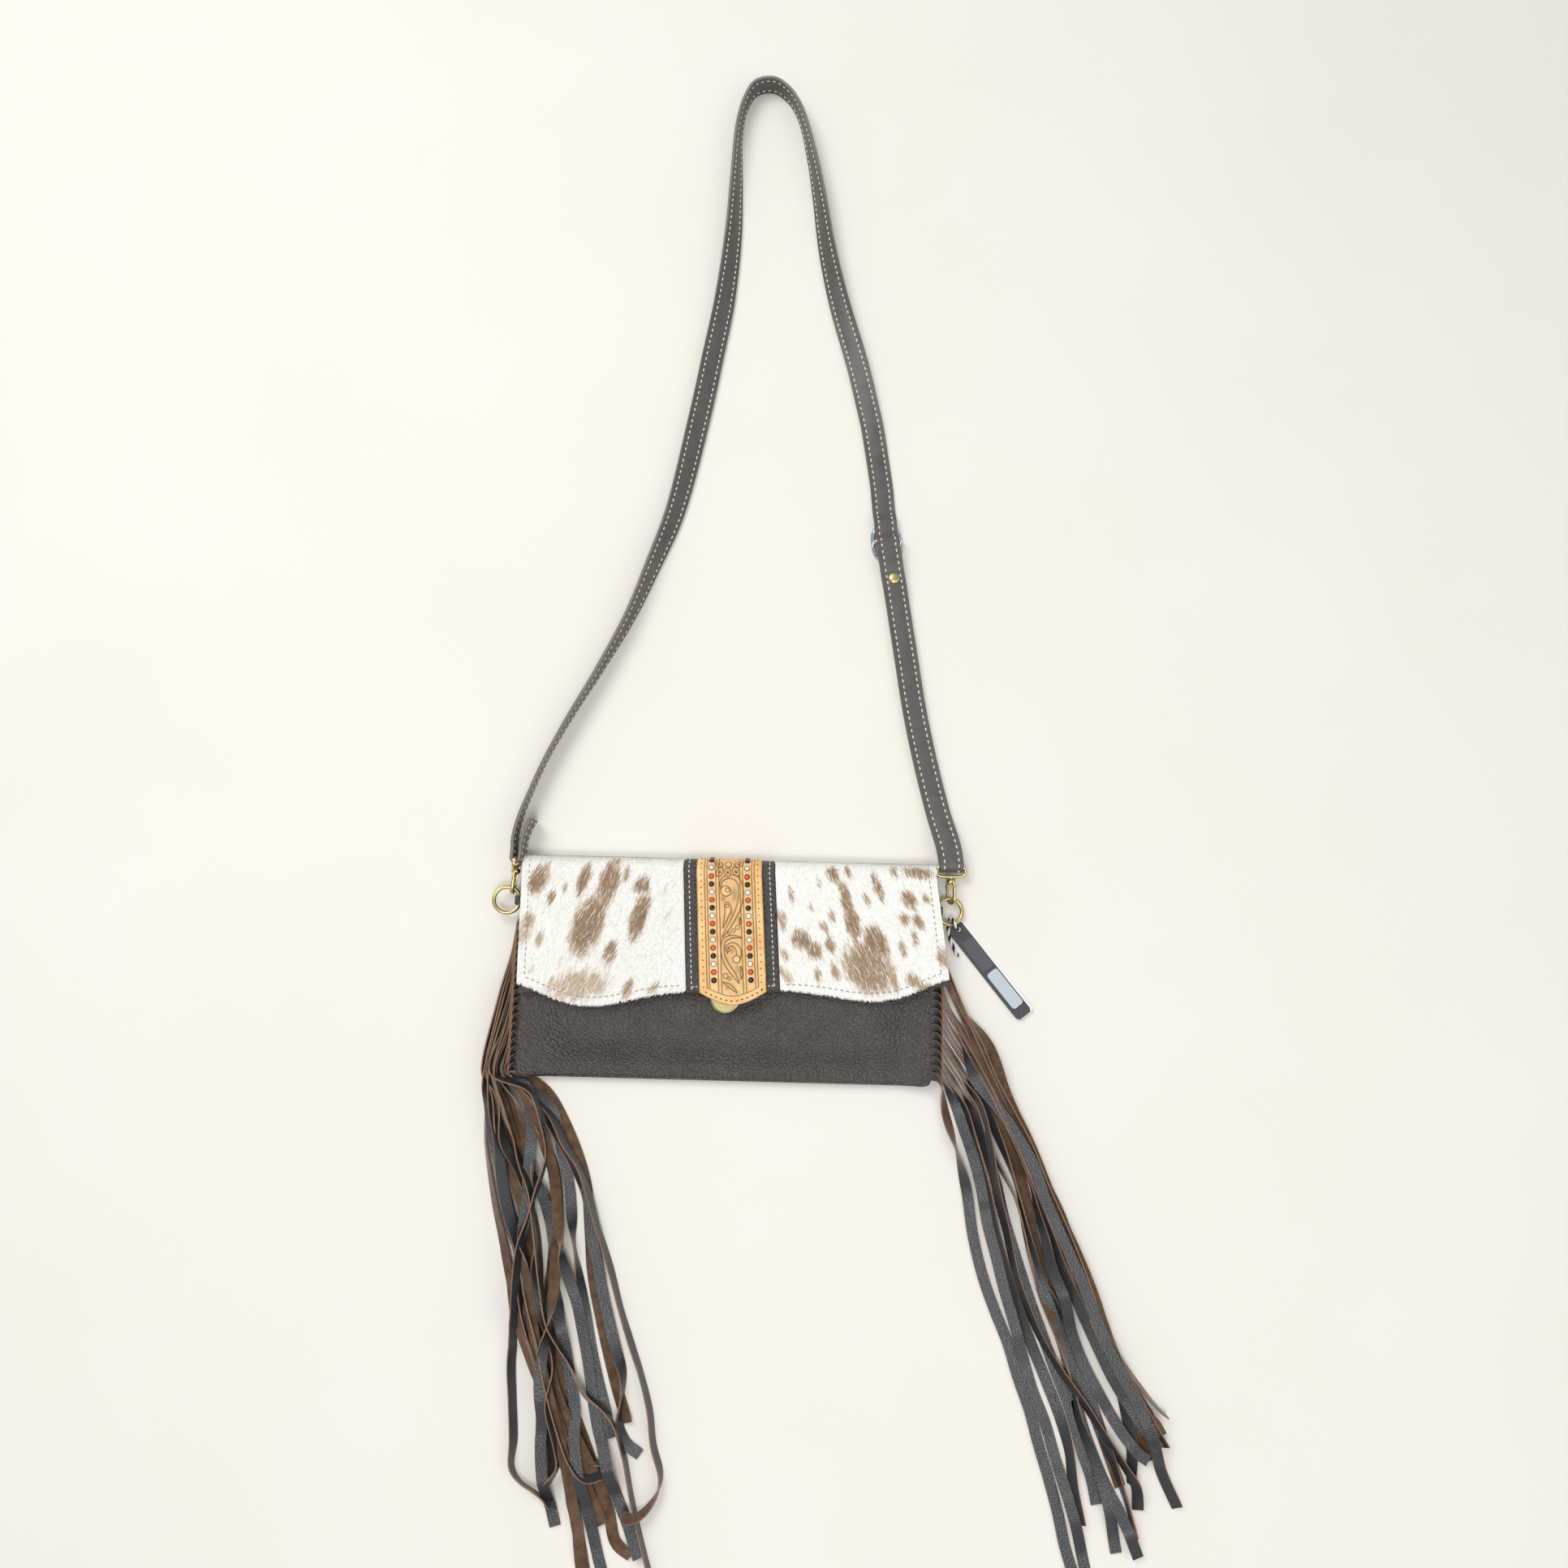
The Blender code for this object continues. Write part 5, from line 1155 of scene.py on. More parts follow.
# Each strip below the body's corner: x and y in mm and roll in degrees, where 0 shows the
# grain, 90 stands on edge and 180 shows the suede
left_falls = [
    [(-112, -75, 180), (-96, -98, 180), (-82, -132, 180), (-78, -163, 150), (-75, -185, 180),
     (-68, -213, 180), (-61, -237, 180), (-55, -255, 180), (-50, -267, 150)],
    [(-106, -90, 70), (-95, -108, 70), (-86, -121, 80), (-79, -138, 70), (-72, -159, 75),
     (-64, -181, 70), (-57, -203, 75), (-50, -222, 70), (-43, -240, 75), (-37, -260, 70),
     (-34, -279, 70), (-29, -295, 75), (-30, -304, 90), (-36, -313, 110), (-43, -317, 120),
     (-50, -316, 140)],
    [(-105, -88, 10), (-101, -102, 0), (-96, -119, 10), (-92, -135, 0), (-90, -148, 20),
     (-87, -167, 90), (-83, -185, 60), (-78, -208, 20), (-74, -226, 0), (-69, -244, 0),
     (-64, -260, 10), (-60, -276, 20)],
    [(-115, -83, 90), (-102, -102, 60), (-91, -119, 60), (-83, -132, 20), (-78, -148, 0),
     (-76, -163, 0), (-73, -174, 0), (-69, -193, 0), (-65, -207, 0), (-59, -226, 20),
     (-54, -240, 60), (-54, -255, 80), (-55, -267, 60), (-51, -278, 20), (-42, -285, 0)],
    [(-118, -85, 150), (-109, -102, 180), (-103, -121, 180), (-99, -140, 180), (-96, -159, 150),
     (-93, -174, 60), (-88, -187, 20), (-83, -200, 0), (-79, -217, 0), (-75, -235, 0),
     (-71, -255, 0), (-67, -271, 0), (-62, -285, 0), (-55, -307, 0), (-47, -324, 0),
     (-40, -340, 0)],
    [(-121, -85, 100), (-111, -104, 120), (-103, -121, 180), (-99, -137, 180), (-97, -156, 180),
     (-97, -175, 180), (-97, -193, 170), (-99, -212, 90), (-101, -227, 30), (-102, -245, 10),
     (-100, -263, 0), (-100, -281, 0), (-97, -299, 0), (-93, -315, 0), (-90, -325, 0)],
    [(-121, -75, 0), (-118, -87, 0), (-116, -104, 0), (-116, -124, 0), (-116, -143, 0),
     (-117, -160, 30), (-115, -179, 150), (-111, -197, 180), (-107, -216, 180),
     (-102, -234, 180), (-96, -252, 180), (-91, -268, 180), (-85, -286, 180), (-81, -304, 180),
     (-77, -323, 180), (-74, -344, 180), (-71, -358, 180)],
    [(-125, -87, 120), (-120, -106, 180), (-114, -124, 90), (-107, -139, 10), (-102, -156, 0),
     (-98, -175, 30), (-96, -189, 90), (-94, -206, 30), (-89, -226, 0), (-85, -245, 0),
     (-81, -263, 0), (-80, -277, 0), (-76, -297, 0), (-70, -319, 0), (-63, -344, 0),
     (-58, -357, 0)],
    [(-129, -89, 160), (-121, -110, 180), (-111, -129, 110), (-104, -146, 180),
     (-100, -163, 180), (-100, -182, 180), (-101, -201, 120), (-96, -219, 150),
     (-91, -237, 180), (-86, -255, 180), (-76, -277, 180), (-67, -298, 180), (-59, -316, 180),
     (-54, -333, 180), (-45, -340, 150)],
    [(-133, -89, 120), (-125, -112, 90), (-114, -133, 70), (-111, -152, 90), (-107, -175, 90),
     (-103, -193, 80), (-100, -208, 90), (-93, -223, 100), (-85, -237, 110), (-75, -253, 120),
     (-64, -260, 100), (-57, -267, 90), (-51, -285, 80), (-46, -306, 80), (-41, -324, 80),
     (-35, -343, 80), (-30, -357, 80)],
    [(-117, -77, 80), (-108, -98, 80), (-106, -114, 90), (-109, -131, 80), (-114, -150, 90),
     (-118, -166, 70), (-119, -186, 60), (-119, -209, 60), (-121, -233, 55), (-119, -256, 60),
     (-117, -278, 60), (-117, -293, 80), (-111, -301, 100), (-97, -308, 90), (-92, -311, 60)],
    [(-136, -85, 100), (-132, -107, 60), (-122, -124, 40), (-113, -147, 90), (-109, -164, 90),
     (-108, -182, 40), (-104, -201, 20), (-98, -219, 60), (-95, -237, 90), (-96, -256, 60),
     (-90, -277, 60), (-89, -290, 80), (-95, -300, 60)],
    [(-138, -85, 180), (-132, -109, 180), (-126, -122, 180), (-118, -139, 150),
     (-112, -160, 180), (-109, -179, 180), (-107, -197, 180), (-103, -218, 160),
     (-98, -236, 180), (-93, -252, 180), (-86, -268, 150), (-78, -283, 120), (-69, -289, 90),
     (-62, -288, 60)],
    [(-140, -89, 60), (-135, -107, 40), (-132, -128, 30), (-127, -147, 30), (-120, -166, 50),
     (-116, -186, 90), (-111, -205, 100), (-106, -223, 120), (-101, -239, 100), (-95, -256, 90),
     (-89, -272, 90), (-81, -288, 80), (-72, -296, 60), (-63, -294, 60)],
    [(-135, -85, 180), (-129, -103, 180), (-123, -116, 180), (-119, -133, 180),
     (-116, -152, 160), (-113, -171, 180), (-108, -194, 180), (-106, -214, 180),
     (-100, -232, 180), (-93, -250, 150), (-85, -266, 180), (-75, -282, 180), (-67, -296, 180),
     (-61, -312, 180)],
    [(-139, -82, 120), (-135, -101, 180), (-129, -120, 180), (-121, -139, 180),
     (-115, -156, 180), (-110, -175, 150), (-107, -194, 180), (-109, -214, 120),
     (-106, -232, 60), (-102, -249, 60), (-98, -265, 60), (-95, -283, 60), (-93, -297, 60)],
    [(-140, -82, 90), (-138, -101, 100), (-134, -120, 90), (-129, -139, 80), (-123, -158, 60),
     (-118, -175, 30), (-115, -194, 10), (-113, -209, 30), (-108, -227, 90), (-102, -245, 120),
     (-94, -261, 150), (-85, -279, 180), (-78, -295, 180), (-72, -311, 180)],
    [(-143, -82, 20), (-139, -103, 20), (-134, -120, 10), (-130, -139, 10), (-125, -156, 20),
     (-119, -171, 20), (-117, -190, 60), (-114, -209, 90), (-109, -227, 120), (-103, -243, 150),
     (-96, -259, 180), (-87, -275, 180), (-77, -291, 180), (-70, -307, 180), (-62, -323, 180)],
    [(-145, -80, 120), (-145, -105, 110), (-141, -126, 120), (-136, -147, 130),
     (-131, -164, 140), (-126, -183, 150), (-119, -207, 150), (-113, -221, 150),
     (-105, -238, 160), (-96, -254, 180), (-88, -272, 180), (-83, -291, 180), (-80, -313, 180),
     (-75, -334, 180), (-71, -351, 180)],
]
right_falls = [
    [(138, -84, 150), (145, -107, 90), (151, -129, 20), (155, -155, 0), (161, -179, 0),
     (168, -198, 0), (176, -217, 0), (182, -236, 0), (189, -255, 0), (194, -273, 0),
     (200, -292, 0), (205, -310, 0), (209, -328, 0), (214, -344, 0)],
    [(143, -77, 20), (152, -102, 0), (159, -126, 0), (163, -148, 0), (168, -166, 0),
     (173, -185, 0), (179, -204, 0), (185, -225, 0), (191, -244, 0), (198, -261, 0),
     (204, -281, 0), (210, -300, 0), (216, -320, 0), (221, -342, 0)],
    [(149, -79, 70), (156, -99, 80), (164, -126, 80), (169, -152, 60), (175, -174, 50),
     (182, -196, 30), (190, -217, 20), (199, -238, 10), (207, -258, 20), (212, -277, 50),
     (214, -296, 40), (218, -316, 30)],
    [(153, -79, 60), (162, -102, 40), (169, -126, 30), (175, -148, 10), (182, -170, 0),
     (189, -191, 0), (197, -212, 0), (205, -233, 0), (214, -256, 0), (220, -277, 0),
     (225, -291, 0), (228, -305, 0)],
    [(155, -77, 90), (162, -95, 100), (170, -113, 80), (180, -132, 90), (186, -152, 100),
     (191, -174, 120), (199, -195, 150), (208, -218, 120), (214, -239, 90), (218, -258, 60),
     (227, -281, 20), (234, -303, 0), (239, -331, 0)],
    [(156, -75, 60), (163, -99, 60), (168, -126, 60), (175, -152, 60), (180, -176, 65),
     (187, -195, 60), (196, -214, 60), (207, -231, 60), (220, -248, 60), (231, -264, 60),
     (242, -280, 60), (250, -293, 45), (252, -307, 20)],
    [(159, -75, 40), (170, -99, 60), (181, -126, 90), (187, -152, 60), (194, -178, 20),
     (202, -199, 0), (210, -220, 0), (215, -241, 0), (221, -264, 0), (231, -289, 0),
     (242, -311, 0), (251, -332, 0)],
    [(160, -70, 100), (171, -95, 120), (181, -117, 180), (189, -143, 180), (195, -169, 150),
     (203, -191, 60), (212, -214, 0), (221, -237, 0), (229, -260, 10), (238, -283, 60),
     (245, -303, 80), (250, -321, 80)],
    [(161, -68, 180), (174, -95, 180), (185, -123, 180), (192, -156, 180), (200, -182, 180),
     (209, -206, 180), (217, -231, 180), (226, -250, 180), (233, -270, 180), (242, -295, 180)],
    [(162, -65, 120), (177, -97, 90), (190, -125, 90), (195, -147, 60), (201, -171, 30),
     (209, -191, 10), (214, -210, 0), (222, -229, 0), (232, -247, 0), (244, -266, 0),
     (253, -276, 0), (258, -279, 0)],
    [(163, -63, 100), (180, -97, 120), (193, -130, 90), (201, -154, 60), (209, -175, 50),
     (218, -195, 30), (227, -214, 20), (236, -232, 20), (247, -249, 10), (256, -261, 0),
     (263, -271, 0)],
    [(165, -61, 160), (181, -94, 180), (196, -125, 180), (205, -151, 180), (212, -173, 150),
     (221, -192, 120), (230, -211, 120), (240, -230, 120), (250, -246, 120), (261, -257, 150),
     (265, -264, 180)],
    [(155, -63, 10), (167, -77, 0), (178, -92, 0), (190, -112, 0), (198, -134, 0),
     (208, -156, 0), (217, -175, 0), (226, -197, 0), (234, -216, 0), (243, -232, 0),
     (252, -249, 0), (259, -265, 20), (267, -288, 30), (275, -305, 30)],
    [(165, -45, 180), (174, -70, 180), (183, -90, 180), (191, -108, 180), (201, -132, 180),
     (213, -156, 180), (224, -181, 180), (232, -203, 150), (241, -222, 120), (252, -236, 110),
     (264, -250, 100), (270, -255, 90)],
    [(160, -49, 160), (170, -70, 180), (181, -90, 180), (190, -112, 150), (199, -134, 120),
     (207, -156, 100), (215, -177, 120), (223, -199, 150), (232, -220, 180), (241, -239, 180),
     (251, -255, 180), (258, -270, 180), (261, -280, 180)],
    [(158, -40, 120), (168, -61, 120), (179, -81, 150), (189, -101, 180), (199, -125, 180),
     (208, -147, 180), (218, -171, 180), (226, -192, 180), (234, -213, 180), (244, -232, 150),
     (254, -247, 150), (262, -259, 150), (265, -267, 150)],
    [(155, -36, 90), (166, -54, 110), (176, -74, 120), (187, -94, 120), (196, -116, 140),
     (206, -138, 150), (215, -160, 150), (223, -184, 120), (231, -207, 90), (239, -230, 60),
     (245, -251, 40), (249, -272, 30), (248, -293, 60)],
    [(153, -31, 90), (162, -47, 90), (173, -67, 90), (183, -88, 100), (193, -107, 100),
     (202, -130, 100), (211, -154, 110), (220, -175, 120), (229, -199, 130), (238, -220, 150),
     (246, -241, 160), (253, -259, 180), (256, -280, 180)],
    [(150, -24, 90), (159, -40, 90), (168, -61, 90), (179, -81, 90), (190, -101, 90),
     (200, -125, 90), (210, -147, 90), (220, -171, 90), (228, -192, 90), (238, -215, 80),
     (248, -236, 70), (257, -253, 60), (268, -271, 60)],
]
left_order = [0, 2, 8, 12, 14, 15, 16, 18, 17, 13, 11, 7, 6, 5, 4, 3, 9, 1, 10]
right_order = [17, 16, 15, 14, 18, 13, 11, 8, 7, 10, 2, 6, 3, 9, 0, 1, 4, 5, 12]

# Chrome-tanned split, grain side: dark grey, finely pebbled, with a cool soft shine.
fringe_grain, tree = start_material("dark_grain_face")
place = add_node(tree, "TexCoord")
pebble = add_node(tree, "TexVoronoi", None, {"Scale": 1100.0}, {"Vector": (place, "Object")})
cloudy = add_node(tree, "TexNoise", None, {"Scale": 70.0, "Detail": 5.0}, {"Vector": (place, "Object")})
base = add_node(tree, "Mix", {"data_type": "RGBA"}, {6: linear("222324"), 7: linear("3a3b3d")},
                {0: (cloudy, 0)})
rise = add_node(tree, "Bump", {"invert": True}, {"Strength": 0.8, "Distance": 0.2 * MM},
                {"Height": (pebble, 0)})
end_material(tree, {"Roughness": 0.36, "Specular IOR Level": 0.65},
             {"Base Color": (base, 2), "Normal": (rise, 0)})

# Chrome-tanned split, suede side: warm brown with a soft nap brushed into lighter patches.
fringe_suede, tree = start_material("brown_suede_face")
place = add_node(tree, "TexCoord")
brushed = add_node(tree, "TexNoise", None, {"Scale": 130.0, "Detail": 4.0, "Roughness": 0.6},
                   {"Vector": (place, "Object")})
nap = add_node(tree, "TexNoise", None, {"Scale": 2500.0, "Detail": 2.0}, {"Vector": (place, "Object")})
spread = add_node(tree, "MapRange", None, {"From Min": 0.3, "From Max": 0.7}, {0: (brushed, 0)})
tone = add_node(tree, "Mix", {"data_type": "RGBA"}, {6: linear("463527"), 7: linear("6d5541")},
                {0: (spread, 0)})
rise = add_node(tree, "Bump", None, {"Strength": 0.6, "Distance": 0.1 * MM}, {"Height": (nap, 0)})
end_material(tree, {"Roughness": 0.95, "Sheen Weight": 0.35, "Sheen Roughness": 0.5,
                    "Specular IOR Level": 0.15}, {"Base Color": (tone, 2), "Normal": (rise, 0)})

# Cut leather edge: raw and undyed, a light brown line along every strip.
fringe_edge, tree = start_material("raw_cut_edge")
place = add_node(tree, "TexCoord")
fibre = add_node(tree, "TexNoise", None, {"Scale": 700.0, "Detail": 3.0}, {"Vector": (place, "Object")})
tone = add_node(tree, "Mix", {"data_type": "RGBA"}, {6: linear("5f4839"), 7: linear("9a7a63")},
                {0: (fibre, 0)})
end_material(tree, {"Roughness": 0.9}, {"Base Color": (tone, 2)})


def pile_under(pile, point, across, half):
    """The highest thing under a strip's own width at a point, from a map of 1 mm squares."""
    best = 0.0
    for share in (-1.0, -0.5, 0.0, 0.5, 1.0):
        spot = point + across * half * share
        best = max(best, pile.get((round(spot.x / MM), round(spot.y / MM)), 0.0))
    return best


def lay_strip(side, number, fall, pile, height_cap):
    """Stations of one strip: out of the seam, down beside the body, then over the heap."""
    root = first_root / MM + number * strip_pitch / MM
    keys = []
    tight = 1.0 - 0.55 * ease(number, 12, 17) if side > 0 else 1.0
    for out, drop, roll in leaving[side]:
        out *= tight
        keys.append((side * (body_half / MM + out), root + drop, 0.0, roll))
    lean = 92 + 18 * math.sin(2.4 * number)
    if side > 0 and number > 1:
        share = 0.5 + 0.1 * math.sin(1.7 * number)
        keys.append((keys[-1][0] + (fall[0][0] - keys[-1][0]) * share,
                     keys[-1][1] + (fall[0][1] - keys[-1][1]) * share, 0.0, lean + 12))
    if side < 0:
        waist = keys[-1][0] - waist_pitch * number
        if number > 4:
            keys.append(((keys[-1][0] + waist) / 2, (root - 70.4) / 2, 0.0, lean))
        keys.append((waist, waist_y, 0.0, lean))
    keys += [(x, y, 0.0, roll) for x, y, roll in fall]
    path = resample(keys, 2.6)
    count = len(path)
    points = [Vector((row[0] * MM, row[1] * MM, 0.0)) for row in path]
    levels, frames_here = [], []
    travelled = 0.0
    for step, point in enumerate(points):
        along = (points[min(step + 1, count - 1)] - points[max(step - 1, 0)]).normalized()
        roll = math.radians(path[step][3])
        level = side * UP.cross(along)
        across = level * math.cos(roll) + UP * math.sin(roll)
        out = UP * math.cos(roll) - level * math.sin(roll)
        width = width_after(travelled)
        half_high = (width * abs(math.sin(roll)) + strip_thick * abs(math.cos(roll))) / 2
        half_wide = (width * abs(math.cos(roll)) + strip_thick * abs(math.sin(roll))) / 2
        under = pile_under(pile, point, level, max(half_wide - 0.3 * MM, 0.0))
        under = min(under, height_cap) * ease(travelled, 20 * MM, 60 * MM)
        levels.append(under)
        frames_here.append((level, across, out, half_high, half_wide, travelled))
        travelled += (points[min(step + 1, count - 1)] - point).length
    tops = [max(levels[max(step - 2, 0):step + 3]) for step in range(count)]
    smooth = [sum(tops[max(step - 3, 0):step + 4]) / len(tops[max(step - 3, 0):step + 4])
              for step in range(count)]
    stations = []
    for point, base, (level, across, out, half_high, half_wide, gone) in zip(points, smooth, frames_here):
        rest = max(half_high + 0.15 * MM, base + min(half_high, 1.7 * MM))
        fall_share = ease(gone, 0.0, 26 * MM)
        point.z = root_height + (rest - root_height) * fall_share
        stations.append((point, across, out))
        if gone > 14 * MM:
            for share in (-1.0, -0.6, -0.2, 0.2, 0.6, 1.0):
                spot = point + level * half_wide * share
                cell = (round(spot.x / MM), round(spot.y / MM))
                pile[cell] = max(pile.get(cell, 0.0), point.z + half_high)
    return stations


def width_after(travelled):
    """The strips are gathered narrow in the seam and spread to their full width below it."""
    return root_width + (strip_width - root_width) * ease(travelled, 12 * MM, 45 * MM)


def make_fringe(side, name, node, falls, order):
    bm = bmesh.new()
    pile = {}
    for place, number in enumerate(order):
        stations = lay_strip(side, number, falls[number], pile, heap_base + heap_step * place)
        reach = sum((after[0] - here[0]).length for here, after in zip(stations, stations[1:]))

        def section(v):
            w, t = width_after(v * reach) / 2, strip_thick / 2
            return [(-w, -t), (w, -t), (w, t), (-w, t)]

        strip_bm = swept(stations, section)
        for face in strip_bm.faces:
            face.material_index = 2
        layer = strip_bm.loops.layers.uv.verify()
        for face in strip_bm.faces:
            u = sum(loop[layer].uv.x for loop in face.loops) / len(face.loops)
            if len(face.verts) == 4 and abs(u - 0.125) < 0.1:
                face.material_index = 1
            if len(face.verts) == 4 and abs(u - 0.625) < 0.1:
                face.material_index = 0
        append(bm, strip_bm)
    heading = bmesh.new()
    bmesh.ops.create_cube(heading, size=1.0)
    low = first_root - strip_pitch / 2
    high = first_root + (strip_count - 0.5) * strip_pitch
    bmesh.ops.scale(heading, verts=heading.verts, vec=(7.4 * MM, high - low, strip_thick * 0.9))
    bmesh.ops.translate(heading, verts=heading.verts,
                        vec=(side * (body_half - 3.3 * MM), (low + high) / 2, root_height))
    append(bm, heading)
    fringe = add_piece(name, bm, [fringe_grain, fringe_suede, fringe_edge], "bag", 50)
    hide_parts(node)


make_fringe(-1, "left_fringe", "fringe_left", left_falls, left_order)
make_fringe(1, "right_fringe", "fringe_right", right_falls, right_order)


# Rings, tabs and swivel hooks
# Die-cast zinc, plated pale brass and polished. Each ring hangs in a folded leather tab sewn
# in the side seam, and the hook's swivel eye takes the strap's end.

ring_mean = 8.1 * MM
ring_tip = {-1: math.radians(-12), 1: math.radians(12)}
tab_reach = body_half + 3.9 * MM
tab_y = 40 * MM
tab_width = 13 * MM
hook_wire = 1.15 * MM
hook_throat = 2.5 * MM
collar_start = 9 * MM
collar_length = 2.6 * MM
eye_length = 19 * MM
eye_wire = 1.1 * MM
strap_width = 15 * MM
hook_roll = {-1: 0.0, 1: math.radians(30)}
hook_start = {-1: Vector((-0.136364, 0.0482195, 0.0074843)),
              1: Vector((0.1404985, 0.0489598, 0.004648))}
hook_along = {-1: Vector((0.1228864, 0.9759659, 0.1799711)),
              1: Vector((-0.0167422, 0.989558, 0.1431598))}

# Pale brass plate: polished, with faint cloudy wear that varies its gloss.
pale_brass, tree = start_material("polished_pale_brass")
place = add_node(tree, "TexCoord")
handled = add_node(tree, "TexNoise", None, {"Scale": 350.0, "Detail": 4.0}, {"Vector": (place, "Object")})
tone = add_node(tree, "Mix", {"data_type": "RGBA"}, {6: linear("c2b07a"), 7: linear("dccc9a")},
                {0: (handled, 0)})
wear = add_node(tree, "MapRange", None, {"To Min": 0.24, "To Max": 0.42}, {0: (handled, 0)})
end_material(tree, {"Metallic": 1.0}, {"Base Color": (tone, 2), "Roughness": (wear, 0)})


def round_section(radius, sides=12):
    return [(radius * math.cos(2 * math.pi * step / sides), radius * math.sin(2 * math.pi * step / sides))
            for step in range(sides)]


def wire(points, radius, closed=False, sides=12):
    """A round wire through points; radius may be one size or one for each share of its length."""
    if closed:
        points = points + points[:1]
    steady = UP if abs((points[1] - points[0]).normalized().z) < 0.9 else Vector((1.0, 0.0, 0.0))
    acrosses = []
    across = steady
    for number in range(len(points)):
        after = points[min(number + 1, len(points) - 1)]
        along = (after - points[max(number - 1, 0)]).normalized()
        across = (across - along * across.dot(along)).normalized()
        acrosses.append(across)
    size = radius if callable(radius) else (lambda v: radius)
    return swept(follow(points, acrosses), lambda v: round_section(size(v), sides))


def ring_points(side, steps):
    outward = Vector((side * math.cos(ring_tip[side]), 0.0, -math.sin(ring_tip[side])))
    centre = Vector((side * tab_reach, tab_y, root_height)) + outward * ring_mean
    return [centre + ring_mean * (outward * math.sin(angle) + Vector((0.0, math.cos(angle), 0.0)))
            for angle in [2 * math.pi * step / steps for step in range(steps)]]


def hook_axes(side):
    along = hook_along[side].normalized()
    across = along.cross(UP).normalized()
    return Matrix((across, along, across.cross(along))).transposed()


def put(bm, start, turn):
    bmesh.ops.transform(bm, verts=bm.verts, matrix=Matrix.Translation(start) @ turn.to_4x4())
    return bm


def lathe_along(profile, steps=24):
    """A turned shape whose axis is the hook's own."""
    bm = turned(profile, steps)
    bmesh.ops.rotate(bm, verts=bm.verts, matrix=Matrix.Rotation(-math.pi / 2, 3, "X"))
    return bm


def tab_profile():
    """The tab's side view: round the ring's wire, and flat where the seam holds it."""
    bore = ring_wire + 1.1 * MM
    path = [(-9.5 * MM, 0.62 * MM), (-5 * MM, 0.75 * MM), (-3.2 * MM, 1.4 * MM)]
    for step in range(13):
        angle = math.pi * 0.72 - math.pi * 1.44 * step / 12
        path.append(((bore + 0.5 * MM) * math.cos(angle), (bore + 0.5 * MM) * math.sin(angle)))
    path += [(-3.2 * MM, -1.4 * MM), (-5 * MM, -0.75 * MM), (-9.5 * MM, -0.62 * MM)]
    return path


def make_tab(side, word):
    centre = Vector((side * tab_reach, tab_y, root_height))
    path = resample([(x, 0.0, z) for x, z in tab_profile()], 0.5 * MM)
    points = [centre + Vector((side * x, 0.0, z)) for x, _, z in path]
    stations = follow(points, [Vector((0.0, 1.0, 0.0))] * len(points))

    def section(v):
        point = path[min(round(v * (len(path) - 1)), len(path) - 1)]
        narrow = 0.42 + 0.58 * ease(point[0], -2.2 * MM, -4.6 * MM)
        half = tab_width / 2 * narrow
        return [(-half, -0.3 * MM), (-half + 0.3 * MM, -0.5 * MM), (half - 0.3 * MM, -0.5 * MM),
                (half, -0.3 * MM), (half, 0.3 * MM), (half - 0.3 * MM, 0.5 * MM),
                (-half + 0.3 * MM, 0.5 * MM), (-half, 0.3 * MM)]

    tab = add_piece("ring_tab_leather_" + word, swept(stations, section), [pebbled_leather], "bag")
    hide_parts("ring_tab_" + word)


